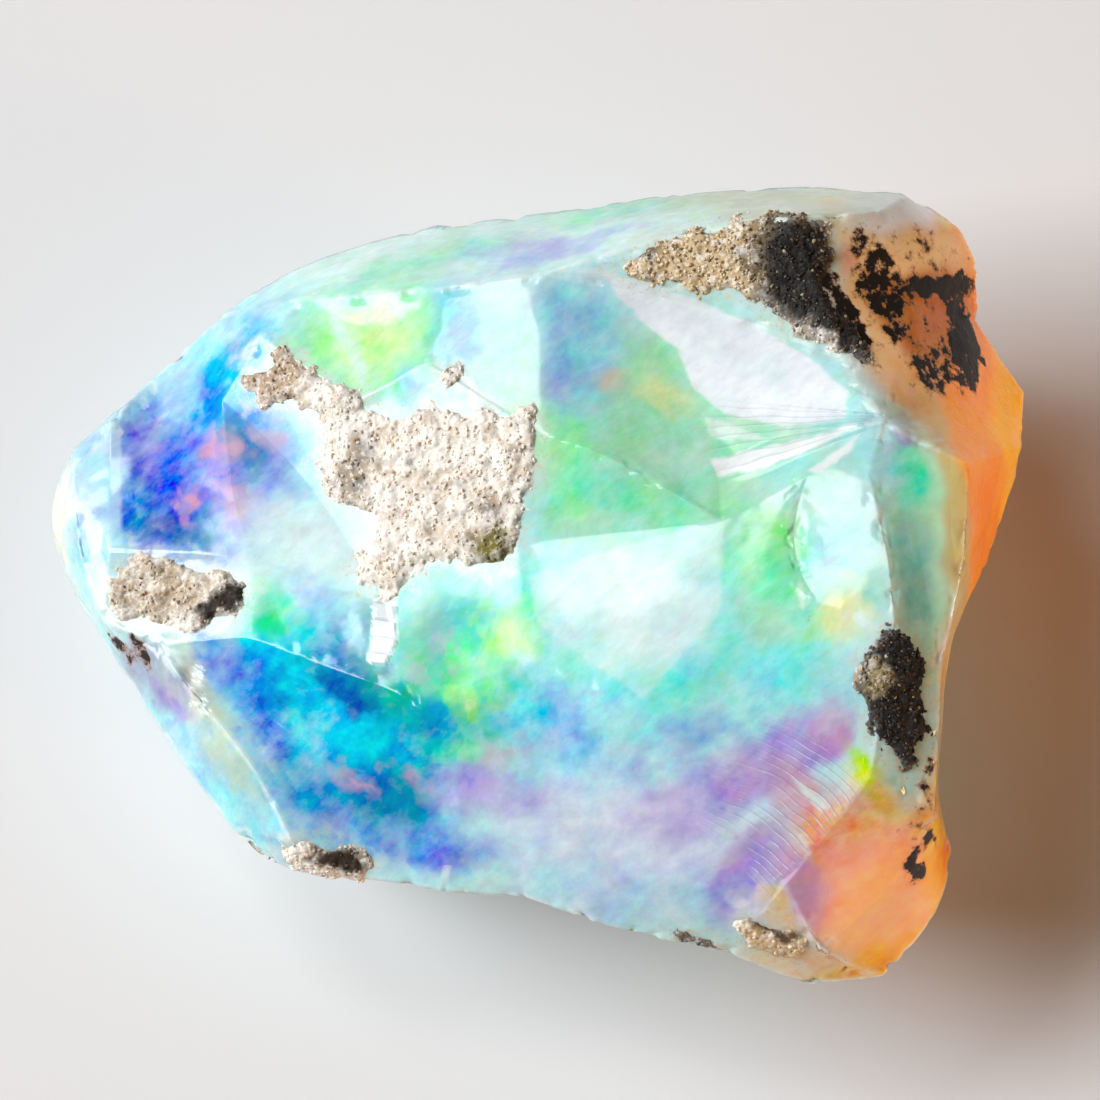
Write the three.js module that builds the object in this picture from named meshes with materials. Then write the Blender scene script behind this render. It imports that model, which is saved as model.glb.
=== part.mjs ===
// Rough precious opal: one broken, unpolished lump of crystal opal, 30 mm long.
//
// The lump is drawn as a net of corners joined by ridges. Each stretch of surface between
// ridges is one fracture face, as brittle silica breaks: smooth inside, bounded by crisp ridges.
// Panels of one face run into each other smoothly, and two faces meet in a ridge.
// The net is then subdivided by Loop's rule, which keeps every ridge and rounds every face.
//
// Millimetres, +Z up. X runs along the stone from its west tip, and +Y is its far side.
// The origin is the middle of the stone's outline, on the plane that it rests on.

import * as THREE from "three";

// Driving dimensions.
const LENGTH = 30;
const DEPTH = 24.5;
const HEIGHT = 14.4;
const ROUNDS = 2; // each round of subdivision makes four triangles of one

// Corners of the net: x, y, z. The shape is scaled to the driving dimensions afterwards.
const CORNERS = {
  // Rim, the widest outline, clockwise from the west tip.
  r1: [-15.0, 2.9, 5.8],
  r2: [-14.0, 4.9, 6.3],
  r3: [-11.6, 6.8, 7.3],
  r4: [-9.5, 8.6, 8.1],
  r5: [-7.2, 10.2, 8.5],
  r6: [-2.8, 11.3, 8.8],
  r7: [0.8, 11.6, 9.1],
  r8: [4.6, 12.2, 9.3],
  r9: [8.5, 12.3, 9.5],
  r10: [11.5, 11.8, 10.3],
  r11: [13.2, 10.7, 10.3],
  r12: [13.8, 9.4, 9.8],
  r13: [13.6, 8.1, 9.3],
  r14: [15.1, 6.1, 8.3],
  r15: [15.0, 4.5, 8.1],
  r16: [14.3, 2.2, 8.1],
  r17: [13.9, 0.5, 8.3],
  r18: [12.7, -1.5, 8.8],
  r19: [12.2, -4.4, 9.1],
  r20: [12.1, -6.4, 9.3],
  r21: [12.6, -8.1, 8.3],
  r22: [12.4, -10.0, 7.8],
  r23: [10.6, -11.8, 7.3],
  r24: [8.2, -12.2, 7.3],
  r25: [6.0, -11.3, 8.3],
  r26: [2.6, -10.7, 8.5],
  r27: [0.0, -9.7, 8.5],
  r28: [-2.6, -9.4, 8.1],
  r29: [-4.9, -8.9, 7.8],
  r30: [-7.2, -8.8, 7.3],
  r31: [-8.9, -7.3, 7.1],
  r32: [-11.0, -4.5, 6.8],
  r33: [-12.6, -1.8, 6.8],
  r34: [-13.9, 0.3, 5.8],
  // Crest along the far side, then down the east side.
  c1: [-6.9, 8.5, 10.2],
  c2: [-2.7, 8.3, 11.9],
  c3: [0.5, 8.6, 12.5],
  c4: [5.0, 9.9, 13.0],
  c5: [8.0, 10.0, 13.6],
  c6: [10.6, 10.2, 13.3],
  c7: [8.4, 7.9, 13.8],
  c8: [9.3, 5.7, 13.4],
  c9: [10.5, 3.5, 14.0],
  c10: [13.0, 2.3, 13.7],
  c11: [12.9, -0.7, 13.5],
  c12: [12.1, -3.8, 13.2],
  c13: [11.9, -7.7, 12.1],
  // West half of the top.
  s1: [-13.9, 4.4, 7.6],
  s2: [-13.8, 1.3, 7.7],
  w1: [-12.8, 5.3, 7.9],
  w2: [-12.7, 1.1, 8.2],
  w3: [-9.3, 5.6, 9.2],
  w4: [-8.1, 7.3, 10.0],
  w5: [-9.0, 2.5, 9.4],
  w6: [-9.6, 0.8, 9.2],
  w7: [-8.3, 0.4, 9.6],
  w8: [-12.9, -0.9, 7.5],
  w9: [-11.2, -1.8, 8.3],
  w10: [-8.5, -1.8, 9.3],
  w11: [-10.3, -3.3, 8.5],
  w12: [-8.3, -5.4, 8.6],
  w13: [-7.1, -7.9, 8.3],
  w14: [-10.7, -3.9, 7.6],
  // Middle of the top.
  m1: [-5.1, 5.0, 11.1],
  m2: [-3.0, 6.0, 11.9],
  m3: [-6.8, 3.3, 9.8],
  m4: [0.4, 3.5, 12.7],
  m5: [-0.2, 0.3, 12.2],
  m6: [-4.2, -1.2, 10.5],
  m7: [-3.8, -3.9, 10.6],
  m8: [2.6, 2.7, 13.0],
  m9: [5.7, 0.6, 13.35],
  m10: [-0.4, -3.1, 12.3],
  m11: [-1.6, -5.7, 10.7],
  m12: [3.2, -5.4, 12.9],
  m13: [6.2, -2.0, 13.5],
  // East half of the top.
  e1: [5.6, 7.5, 12.5],
  e2: [4.4, 5.9, 12.3],
  e3: [6.9, 3.4, 12.95],
  e4: [5.6, 2.2, 13.0],
  e5: [8.2, 1.9, 13.75],
  e6: [7.6, 0.1, 13.55],
  e7: [8.3, -2.2, 13.9],
  e8: [10.0, 1.9, 14.1],
  e9: [10.6, -0.9, 14.4],
  e10: [10.7, -3.1, 14.3],
  e11: [10.0, -7.0, 13.1],
  e12: [5.6, -7.2, 11.9],
  e13: [9.3, -7.9, 12.3],
  e14: [7.6, -9.7, 10.7],
  e15: [11.2, -9.5, 10.3],
  e16: [8.6, -11.4, 8.9],
  e17: [13.0, 5.6, 11.5],
  // Belly, where the underside turns in towards the foot.
  b1: [-12.2, 1.4, 2.6],
  b2: [-8.9, 6.4, 3.2],
  b3: [-1.6, 9.6, 3.6],
  b4: [6.6, 10.6, 4.4],
  b5: [12.4, 7.0, 3.8],
  b6: [12.2, -2.2, 4.6],
  b7: [9.8, -9.6, 3.6],
  b8: [1.4, -8.7, 4.0],
  b9: [-7.8, -6.2, 2.8],
  // Foot, the flat break that the stone rests on.
  f1: [-8.8, 0.6, 0.0],
  f2: [-6.4, 4.8, 0.0],
  f3: [-0.6, 7.4, 0.0],
  f4: [6.4, 8.0, 0.0],
  f5: [10.4, 5.0, 0.0],
  f6: [10.2, -1.8, 0.0],
  f7: [7.6, -7.4, 0.0],
  f8: [0.8, -6.6, 0.0],
  f9: [-5.6, -5.0, 0.0],
};

// Fracture faces. Each panel's corners run anticlockwise seen from outside. The middle of a panel
// with over three corners stands out by bulge, or lies in where the break is hollow.
const FACES = {
  far_bevel: {
    bulge: 0.2,
    panels: [
      "r4 c1 r5",
      "r5 c1 c2 r6",
      "r6 c2 c3 r7",
      "r7 c3 c4 r8",
      "r8 c4 c5 r9",
      "r9 c5 c6 r10",
    ],
  },
  west_tip: { bulge: 0.1, panels: ["r1 s2 s1 r2", "r1 r34 w8 s2"] },
  west_strip: { bulge: 0, panels: ["s1 s2 w2 w1", "s2 w8 w2", "r2 s1 w1"] },
  west_shoulder: { bulge: 0.1, panels: ["r2 w1 r3", "r3 w3 w4 r4", "r4 w4 c1"] },
  west_face: { bulge: -0.1, panels: ["r3 w1 w2 w6 w5 w3", "w5 w6 w7"] },
  green_west: { bulge: 0, panels: ["w4 m1 c1"] },
  green_east: { bulge: -0.1, panels: ["c1 m1 m2 c2"] },
  white_break: { bulge: 0, panels: ["c2 m2 m4 c3"] },
  crust_field: { bulge: 0.1, panels: ["w3 m3 m1 w4", "m1 m3 m6 m5 m4 m2"] },
  west_plain: { bulge: 0, panels: ["w3 w5 w7 m6 m3"] },
  window: { bulge: -0.1, panels: ["w7 w10 m7 m6"] },
  lump_shelf: { bulge: -0.2, panels: ["w2 w8 w9 w10 w7 w6"] },
  blue_face: { bulge: -0.3, panels: ["w9 w11 w12 w13 r29 r28 m11 m7 w10"] },
  blue_edge: { bulge: 0.1, panels: ["w9 w14 r31 w13 w12 w11"] },
  west_flank: { bulge: 0, panels: ["w8 r33 r32 w14 w9", "w8 r34 r33", "w14 r32 r31"] },
  south_chips: { bulge: 0, panels: ["r31 r30 w13", "r30 r29 w13"] },
  scoop: { bulge: -0.3, panels: ["c3 e2 e3 c9 c8 e1", "c3 m4 m8 m9 e4 e3 e2"] },
  sandy_face: { bulge: 0, panels: ["c3 e1 c8 c7 c5 c4"] },
  rib_fan: { bulge: 0, panels: ["e3 e4 c9"] },
  hackle_face: { bulge: 0, panels: ["e4 m9 e5 c9", "e5 e8 c9"] },
  lens: { bulge: 0.1, panels: ["e5 e6 e7 e10 e9 e8"] },
  grey_face: { bulge: 0, panels: ["c9 e8 e9 e10 c12 c11 c10"] },
  black_face: { bulge: 0, panels: ["e10 e11 c13 c12"] },
  green_middle: { bulge: 0, panels: ["m4 m5 m9 m8"] },
  big_face: {
    bulge: 0.1,
    panels: [
      "m5 m10 m12 m13 m9",
      "m9 m13 e7 e6 e5",
      "m13 m12 e12 e13 e11 e10 e7",
      "m10 m11 r27 r26 e12 m12",
      "e12 r26 r25 e14 e13",
      "m6 m7 m11 m10 m5",
      "m11 r28 r27",
    ],
  },
  honey_face: { bulge: 0, panels: ["e13 e14 e16 e15 c13 e11"] },
  honey_edge: { bulge: 0.1, panels: ["c13 e15 r22 r21", "e15 e16 r23 r22"] },
  tan_edge: { bulge: 0, panels: ["e14 r25 r24 r23 e16"] },
  east_upper: { bulge: 0.2, panels: ["c6 c5 c7 c8 c9 e17 r13 r12 r11", "c6 r11 r10"] },
  east_glow: { bulge: 0.1, panels: ["c9 c10 r15 r14 r13 e17"] },
  east_lower: {
    bulge: 0.1,
    panels: ["c10 c11 r17 r16 r15", "c11 c12 r18 r17", "c12 c13 r20 r19 r18", "c13 r21 r20"],
  },
  under_west: { bulge: 0.3, panels: ["r34 r1 r2 r3 b2 b1"] },
  under_north_west: { bulge: 0.1, panels: ["r3 r4 r5 r6 b3 b2"] },
  under_north: { bulge: 0.3, panels: ["r6 r7 r8 r9 b4 b3"] },
  under_north_east: { bulge: 0.2, panels: ["r9 r10 r11 r12 r13 r14 b5 b4"] },
  under_east: { bulge: 0, panels: ["r14 r15 r16 r17 r18 r19 b6 b5"] },
  under_south_east: { bulge: 0.2, panels: ["r19 r20 r21 r22 r23 b7 b6"] },
  under_south: { bulge: -0.2, panels: ["r23 r24 r25 r26 r27 b8 b7"] },
  under_south_west: { bulge: 0.2, panels: ["r27 r28 r29 r30 r31 b9 b8"] },
  under_west_flank: { bulge: 0.1, panels: ["r31 r32 r33 r34 b1 b9"] },
  toe_west: { bulge: 0.2, panels: ["b9 b1 f1 f9", "b1 b2 f2 f1"] },
  toe_north: { bulge: 0.2, panels: ["b2 b3 f3 f2", "b3 b4 f4 f3"] },
  toe_east: { bulge: 0.1, panels: ["b4 b5 f5 f4", "b5 b6 f6 f5"] },
  toe_south: { bulge: 0.2, panels: ["b6 b7 f7 f6", "b7 b8 f8 f7"] },
  toe_south_west: { bulge: 0.1, panels: ["b8 b9 f9 f8"] },
  foot: { bulge: 0, panels: ["f1 f2 f3 f4 f5 f6 f7 f8 f9"] },
};

const edgeKey = (a, b) => (a < b ? a + "_" + b : b + "_" + a);

// Mean direction that a panel faces, from its corners in order.
function facing(points) {
  const normal = new THREE.Vector3();
  points.forEach((p, i) => {
    const next = points[(i + 1) % points.length];
    normal.add(new THREE.Vector3().crossVectors(p, next));
  });
  return normal.normalize();
}

// The net as triangles. A panel with over three corners becomes a fan round its own middle.
function buildNet() {
  const names = Object.keys(CORNERS);
  const points = names.map((n) => new THREE.Vector3(...CORNERS[n]));
  const triangles = [];
  const faceOfEdge = new Map();
  const ridges = new Set();
  Object.entries(FACES).forEach(([face, { bulge, panels }]) => {
    panels.forEach((panel) => {
      const ring = panel.split(" ").map((n) => names.indexOf(n));
      ring.forEach((a, i) => {
        const key = edgeKey(a, ring[(i + 1) % ring.length]);
        if (faceOfEdge.has(key) && faceOfEdge.get(key) !== face) ridges.add(key);
        faceOfEdge.set(key, face);
      });
      if (ring.length === 3) {
        triangles.push(ring);
        return;
      }
      const corners = ring.map((i) => points[i]);
      const middle = new THREE.Vector3();
      corners.forEach((p) => middle.addScaledVector(p, 1 / corners.length));
      points.push(middle.addScaledVector(facing(corners), bulge));
      ring.forEach((a, i) => triangles.push([a, ring[(i + 1) % ring.length], points.length - 1]));
    });
  });
  return { points, triangles, ridges };
}

// One round of Loop subdivision. Ridges stay ridges, and a corner where three or more meet stays put.
function subdivide({ points, triangles, ridges }) {
  const edges = new Map();
  triangles.forEach((t) =>
    t.forEach((a, i) => {
      const b = t[(i + 1) % 3];
      const key = edgeKey(a, b);
      if (!edges.has(key)) edges.set(key, { a, b, tips: [] });
      edges.get(key).tips.push(t[(i + 2) % 3]);
    }),
  );
  const around = points.map(() => []);
  const along = points.map(() => []);
  edges.forEach(({ a, b }, key) => {
    around[a].push(b);
    around[b].push(a);
    if (ridges.has(key)) {
      along[a].push(b);
      along[b].push(a);
    }
  });
  const moved = points.map((p, i) => {
    const near = along[i].length === 2 ? along[i] : around[i];
    if (along[i].length > 2) return p.clone();
    const n = near.length;
    const pull = 3 / 8 + Math.cos((2 * Math.PI) / n) / 4;
    const share = along[i].length === 2 ? 1 / 8 : (5 / 8 - pull * pull) / n;
    const sum = p.clone().multiplyScalar(1 - n * share);
    near.forEach((j) => sum.addScaledVector(points[j], share));
    return sum;
  });
  const halfway = new Map();
  const newRidges = new Set();
  edges.forEach(({ a, b, tips }, key) => {
    const sharp = ridges.has(key);
    const p = points[a].clone().add(points[b]).multiplyScalar(sharp ? 1 / 2 : 3 / 8);
    if (!sharp) tips.forEach((j) => p.addScaledVector(points[j], 1 / 8));
    halfway.set(key, moved.length);
    if (sharp) {
      newRidges.add(edgeKey(a, moved.length));
      newRidges.add(edgeKey(b, moved.length));
    }
    moved.push(p);
  });
  const finer = [];
  triangles.forEach(([a, b, c]) => {
    const ab = halfway.get(edgeKey(a, b));
    const bc = halfway.get(edgeKey(b, c));
    const ca = halfway.get(edgeKey(c, a));
    finer.push([a, ab, ca], [b, bc, ab], [c, ca, bc], [ab, bc, ca]);
  });
  return { points: moved, triangles: finer, ridges: newRidges };
}

// Scales the stone to its driving dimensions and puts the origin under the middle of its outline.
function setDown(geometry) {
  geometry.computeBoundingBox();
  const box = geometry.boundingBox;
  const middle = box.getCenter(new THREE.Vector3());
  const size = box.getSize(new THREE.Vector3());
  geometry.translate(-middle.x, -middle.y, -box.min.z);
  geometry.scale(LENGTH / size.x, DEPTH / size.y, HEIGHT / size.z);
  return geometry;
}

function opalGeometry() {
  let net = buildNet();
  for (let round = 0; round < ROUNDS; round++) net = subdivide(net);
  const geometry = new THREE.BufferGeometry().setFromPoints(net.points);
  geometry.setIndex(net.triangles.flat());
  return setDown(geometry);
}

// Milky, translucent silica, lightly glossy on its fresh breaks.
const opal = new THREE.MeshStandardMaterial({ color: "#a9dcd6", roughness: 0.15, metalness: 0 });

const stone = new THREE.Mesh(opalGeometry(), opal);
stone.name = "opal_stone";

const specimen = new THREE.Group();
specimen.add(stone);

export default specimen;
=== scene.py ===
"""Rough precious opal: the looks of the stone, its sandy matrix and its stains."""

import math

import bpy
import numpy as np
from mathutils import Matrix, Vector, kdtree, noise


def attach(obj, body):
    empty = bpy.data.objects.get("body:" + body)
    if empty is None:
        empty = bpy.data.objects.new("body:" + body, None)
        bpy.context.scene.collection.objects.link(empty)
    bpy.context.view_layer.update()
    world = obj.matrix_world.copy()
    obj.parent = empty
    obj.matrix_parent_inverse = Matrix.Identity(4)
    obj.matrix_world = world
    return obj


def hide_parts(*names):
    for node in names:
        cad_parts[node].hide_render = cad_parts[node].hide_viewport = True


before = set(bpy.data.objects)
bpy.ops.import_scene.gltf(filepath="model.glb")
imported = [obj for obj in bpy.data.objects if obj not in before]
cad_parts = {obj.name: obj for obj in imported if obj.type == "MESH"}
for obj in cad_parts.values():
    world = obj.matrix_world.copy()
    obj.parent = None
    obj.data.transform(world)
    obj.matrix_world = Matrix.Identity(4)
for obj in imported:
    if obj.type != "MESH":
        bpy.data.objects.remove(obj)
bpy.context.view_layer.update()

bl_info = {
    "name": "Rough Opal Specimen",
    "version": (1, 0, 0),
    "blender": (4, 5, 0),
    "location": "3D View > Sidebar > Opal",
    "description": "Builds a broken, unpolished lump of precious opal with its matrix and stains",
    "category": "Add Mesh",
}

MM = 0.001

# The display plane lies square to the way the stone is shown, 15 degrees off straight down.
# Outlines and colour zones are drawn on it, in millimetres: u runs along the stone, w up the plane.
TILT = math.radians(15)
PLANE_HEIGHT = 8.8
TOWARDS = np.array([0.0, -math.sin(TILT), math.cos(TILT)])

# Spacings, widths and distances in millimetres that hold for the whole stone.
HACKLE_SPACING = 0.26
RIDGE_WIDTH = 0.5
REST_BAND = 0.6
DAB_WIDTH = 0.45
CAMERA_DISTANCE = 186

# Grains to the square metre, where the sand is loosest, and the seed that strews them.
GRAIN_DENSITY = 45e6
GRAIN_SEED = 7


def linear(text):
    """An sRGB hex colour as linear red, green and blue."""
    parts = [int(text[i : i + 2], 16) / 255 for i in (1, 3, 5)]
    return tuple(c / 12.92 if c <= 0.04045 else ((c + 0.055) / 1.055) ** 2.4 for c in parts)


def on_plane(points):
    """Points in millimetres as (u, w) on the display plane."""
    w = points[:, 1] * math.cos(TILT) + (points[:, 2] - PLANE_HEIGHT) * math.sin(TILT)
    return np.stack([points[:, 0], w], 1)


# ---------------------------------------------------------------- settings


class OpalSizes(bpy.types.PropertyGroup):
    wave_height: bpy.props.FloatProperty(
        name="Wave height",
        description="Height of the slow waves that run over every fracture face",
        default=0.05 * MM,
        unit="LENGTH",
    )
    chip_depth: bpy.props.FloatProperty(
        name="Chip depth",
        description="Depth of the nibbles along the ridges",
        default=0.1 * MM,
        unit="LENGTH",
    )
    hackle_height: bpy.props.FloatProperty(
        name="Hackle height",
        description="Depth of the bump that draws hackles, ribs and pleats where the break is torn",
        default=0.09 * MM,
        unit="LENGTH",
    )
    rind_height: bpy.props.FloatProperty(
        name="Rind height",
        description="Height of the sugary lumps on the honey-coloured side and the underside",
        default=0.22 * MM,
        unit="LENGTH",
    )
    crust_thickness: bpy.props.FloatProperty(
        name="Crust thickness",
        description="Thickness of the film of sandy matrix left on the opal",
        default=0.17 * MM,
        unit="LENGTH",
    )
    grain_width: bpy.props.FloatProperty(
        name="Grain width",
        description="Width of a loose-looking grain of fine sand in the matrix",
        default=0.15 * MM,
        unit="LENGTH",
    )


class OpalColours(bpy.types.PropertyGroup):
    milk: bpy.props.FloatVectorProperty(
        name="Milk",
        description="Body colour of the milky end",
        subtype="COLOR",
        size=3,
        min=0,
        max=1,
        default=linear("#C2ECEC"),
    )
    honey: bpy.props.FloatVectorProperty(
        name="Honey",
        description="Body colour of the warm end",
        subtype="COLOR",
        size=3,
        min=0,
        max=1,
        default=linear("#FF9A38"),
    )
    sand: bpy.props.FloatVectorProperty(
        name="Sand",
        description="Colour of clean sandy matrix",
        subtype="COLOR",
        size=3,
        min=0,
        max=1,
        default=linear("#FAF4E9"),
    )
    manganese: bpy.props.FloatVectorProperty(
        name="Manganese",
        description="Colour of the black mineral stain",
        subtype="COLOR",
        size=3,
        min=0,
        max=1,
        default=linear("#16110D"),
    )


# The fire's own colours.
PALETTE = {
    "white": "#F6FAFA",
    "lilac_white": "#EFF4FA",
    "frost": "#E4FBF4",
    "milk": "#DDF1F2",
    "ice": "#C6E3F3",
    "sky": "#A6DAF2",
    "aqua": "#9CF2EC",
    "mint": "#B2ECCB",
    "leaf": "#9EF8B0",
    "lime": "#D0F9AE",
    "corn": "#E6E8AC",
    "sand": "#D0D8BA",
    "cream": "#F1E9D4",
    "emerald": "#5CE6AE",
    "cyan": "#12D8EC",
    "azure": "#0EA6E4",
    "cobalt": "#2A74EC",
    "teal": "#2A88B0",
    "navy": "#1450C8",
    "sea": "#1878B8",
    "clay": "#C87C40",
    "jade": "#3CC8A0",
    "lemon": "#C4EC58",
    "periwinkle": "#7E9CE8",
    "lilac": "#BAC6F2",
    "violet": "#B088E0",
    "orchid": "#C99CC6",
    "rose": "#DCA6B4",
    "smoke": "#A5A3B6",
    "peach": "#F2B49A",
    "honey": "#FFB680",
    "apricot": "#FFC68C",
    "amber": "#FFB82A",
    "ember": "#FFA040",
    "glow": "#FF8C1C",
    "tan": "#EBC898",
    "olive": "#C2B074",
    "rust": "#B4682A",
}

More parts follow.
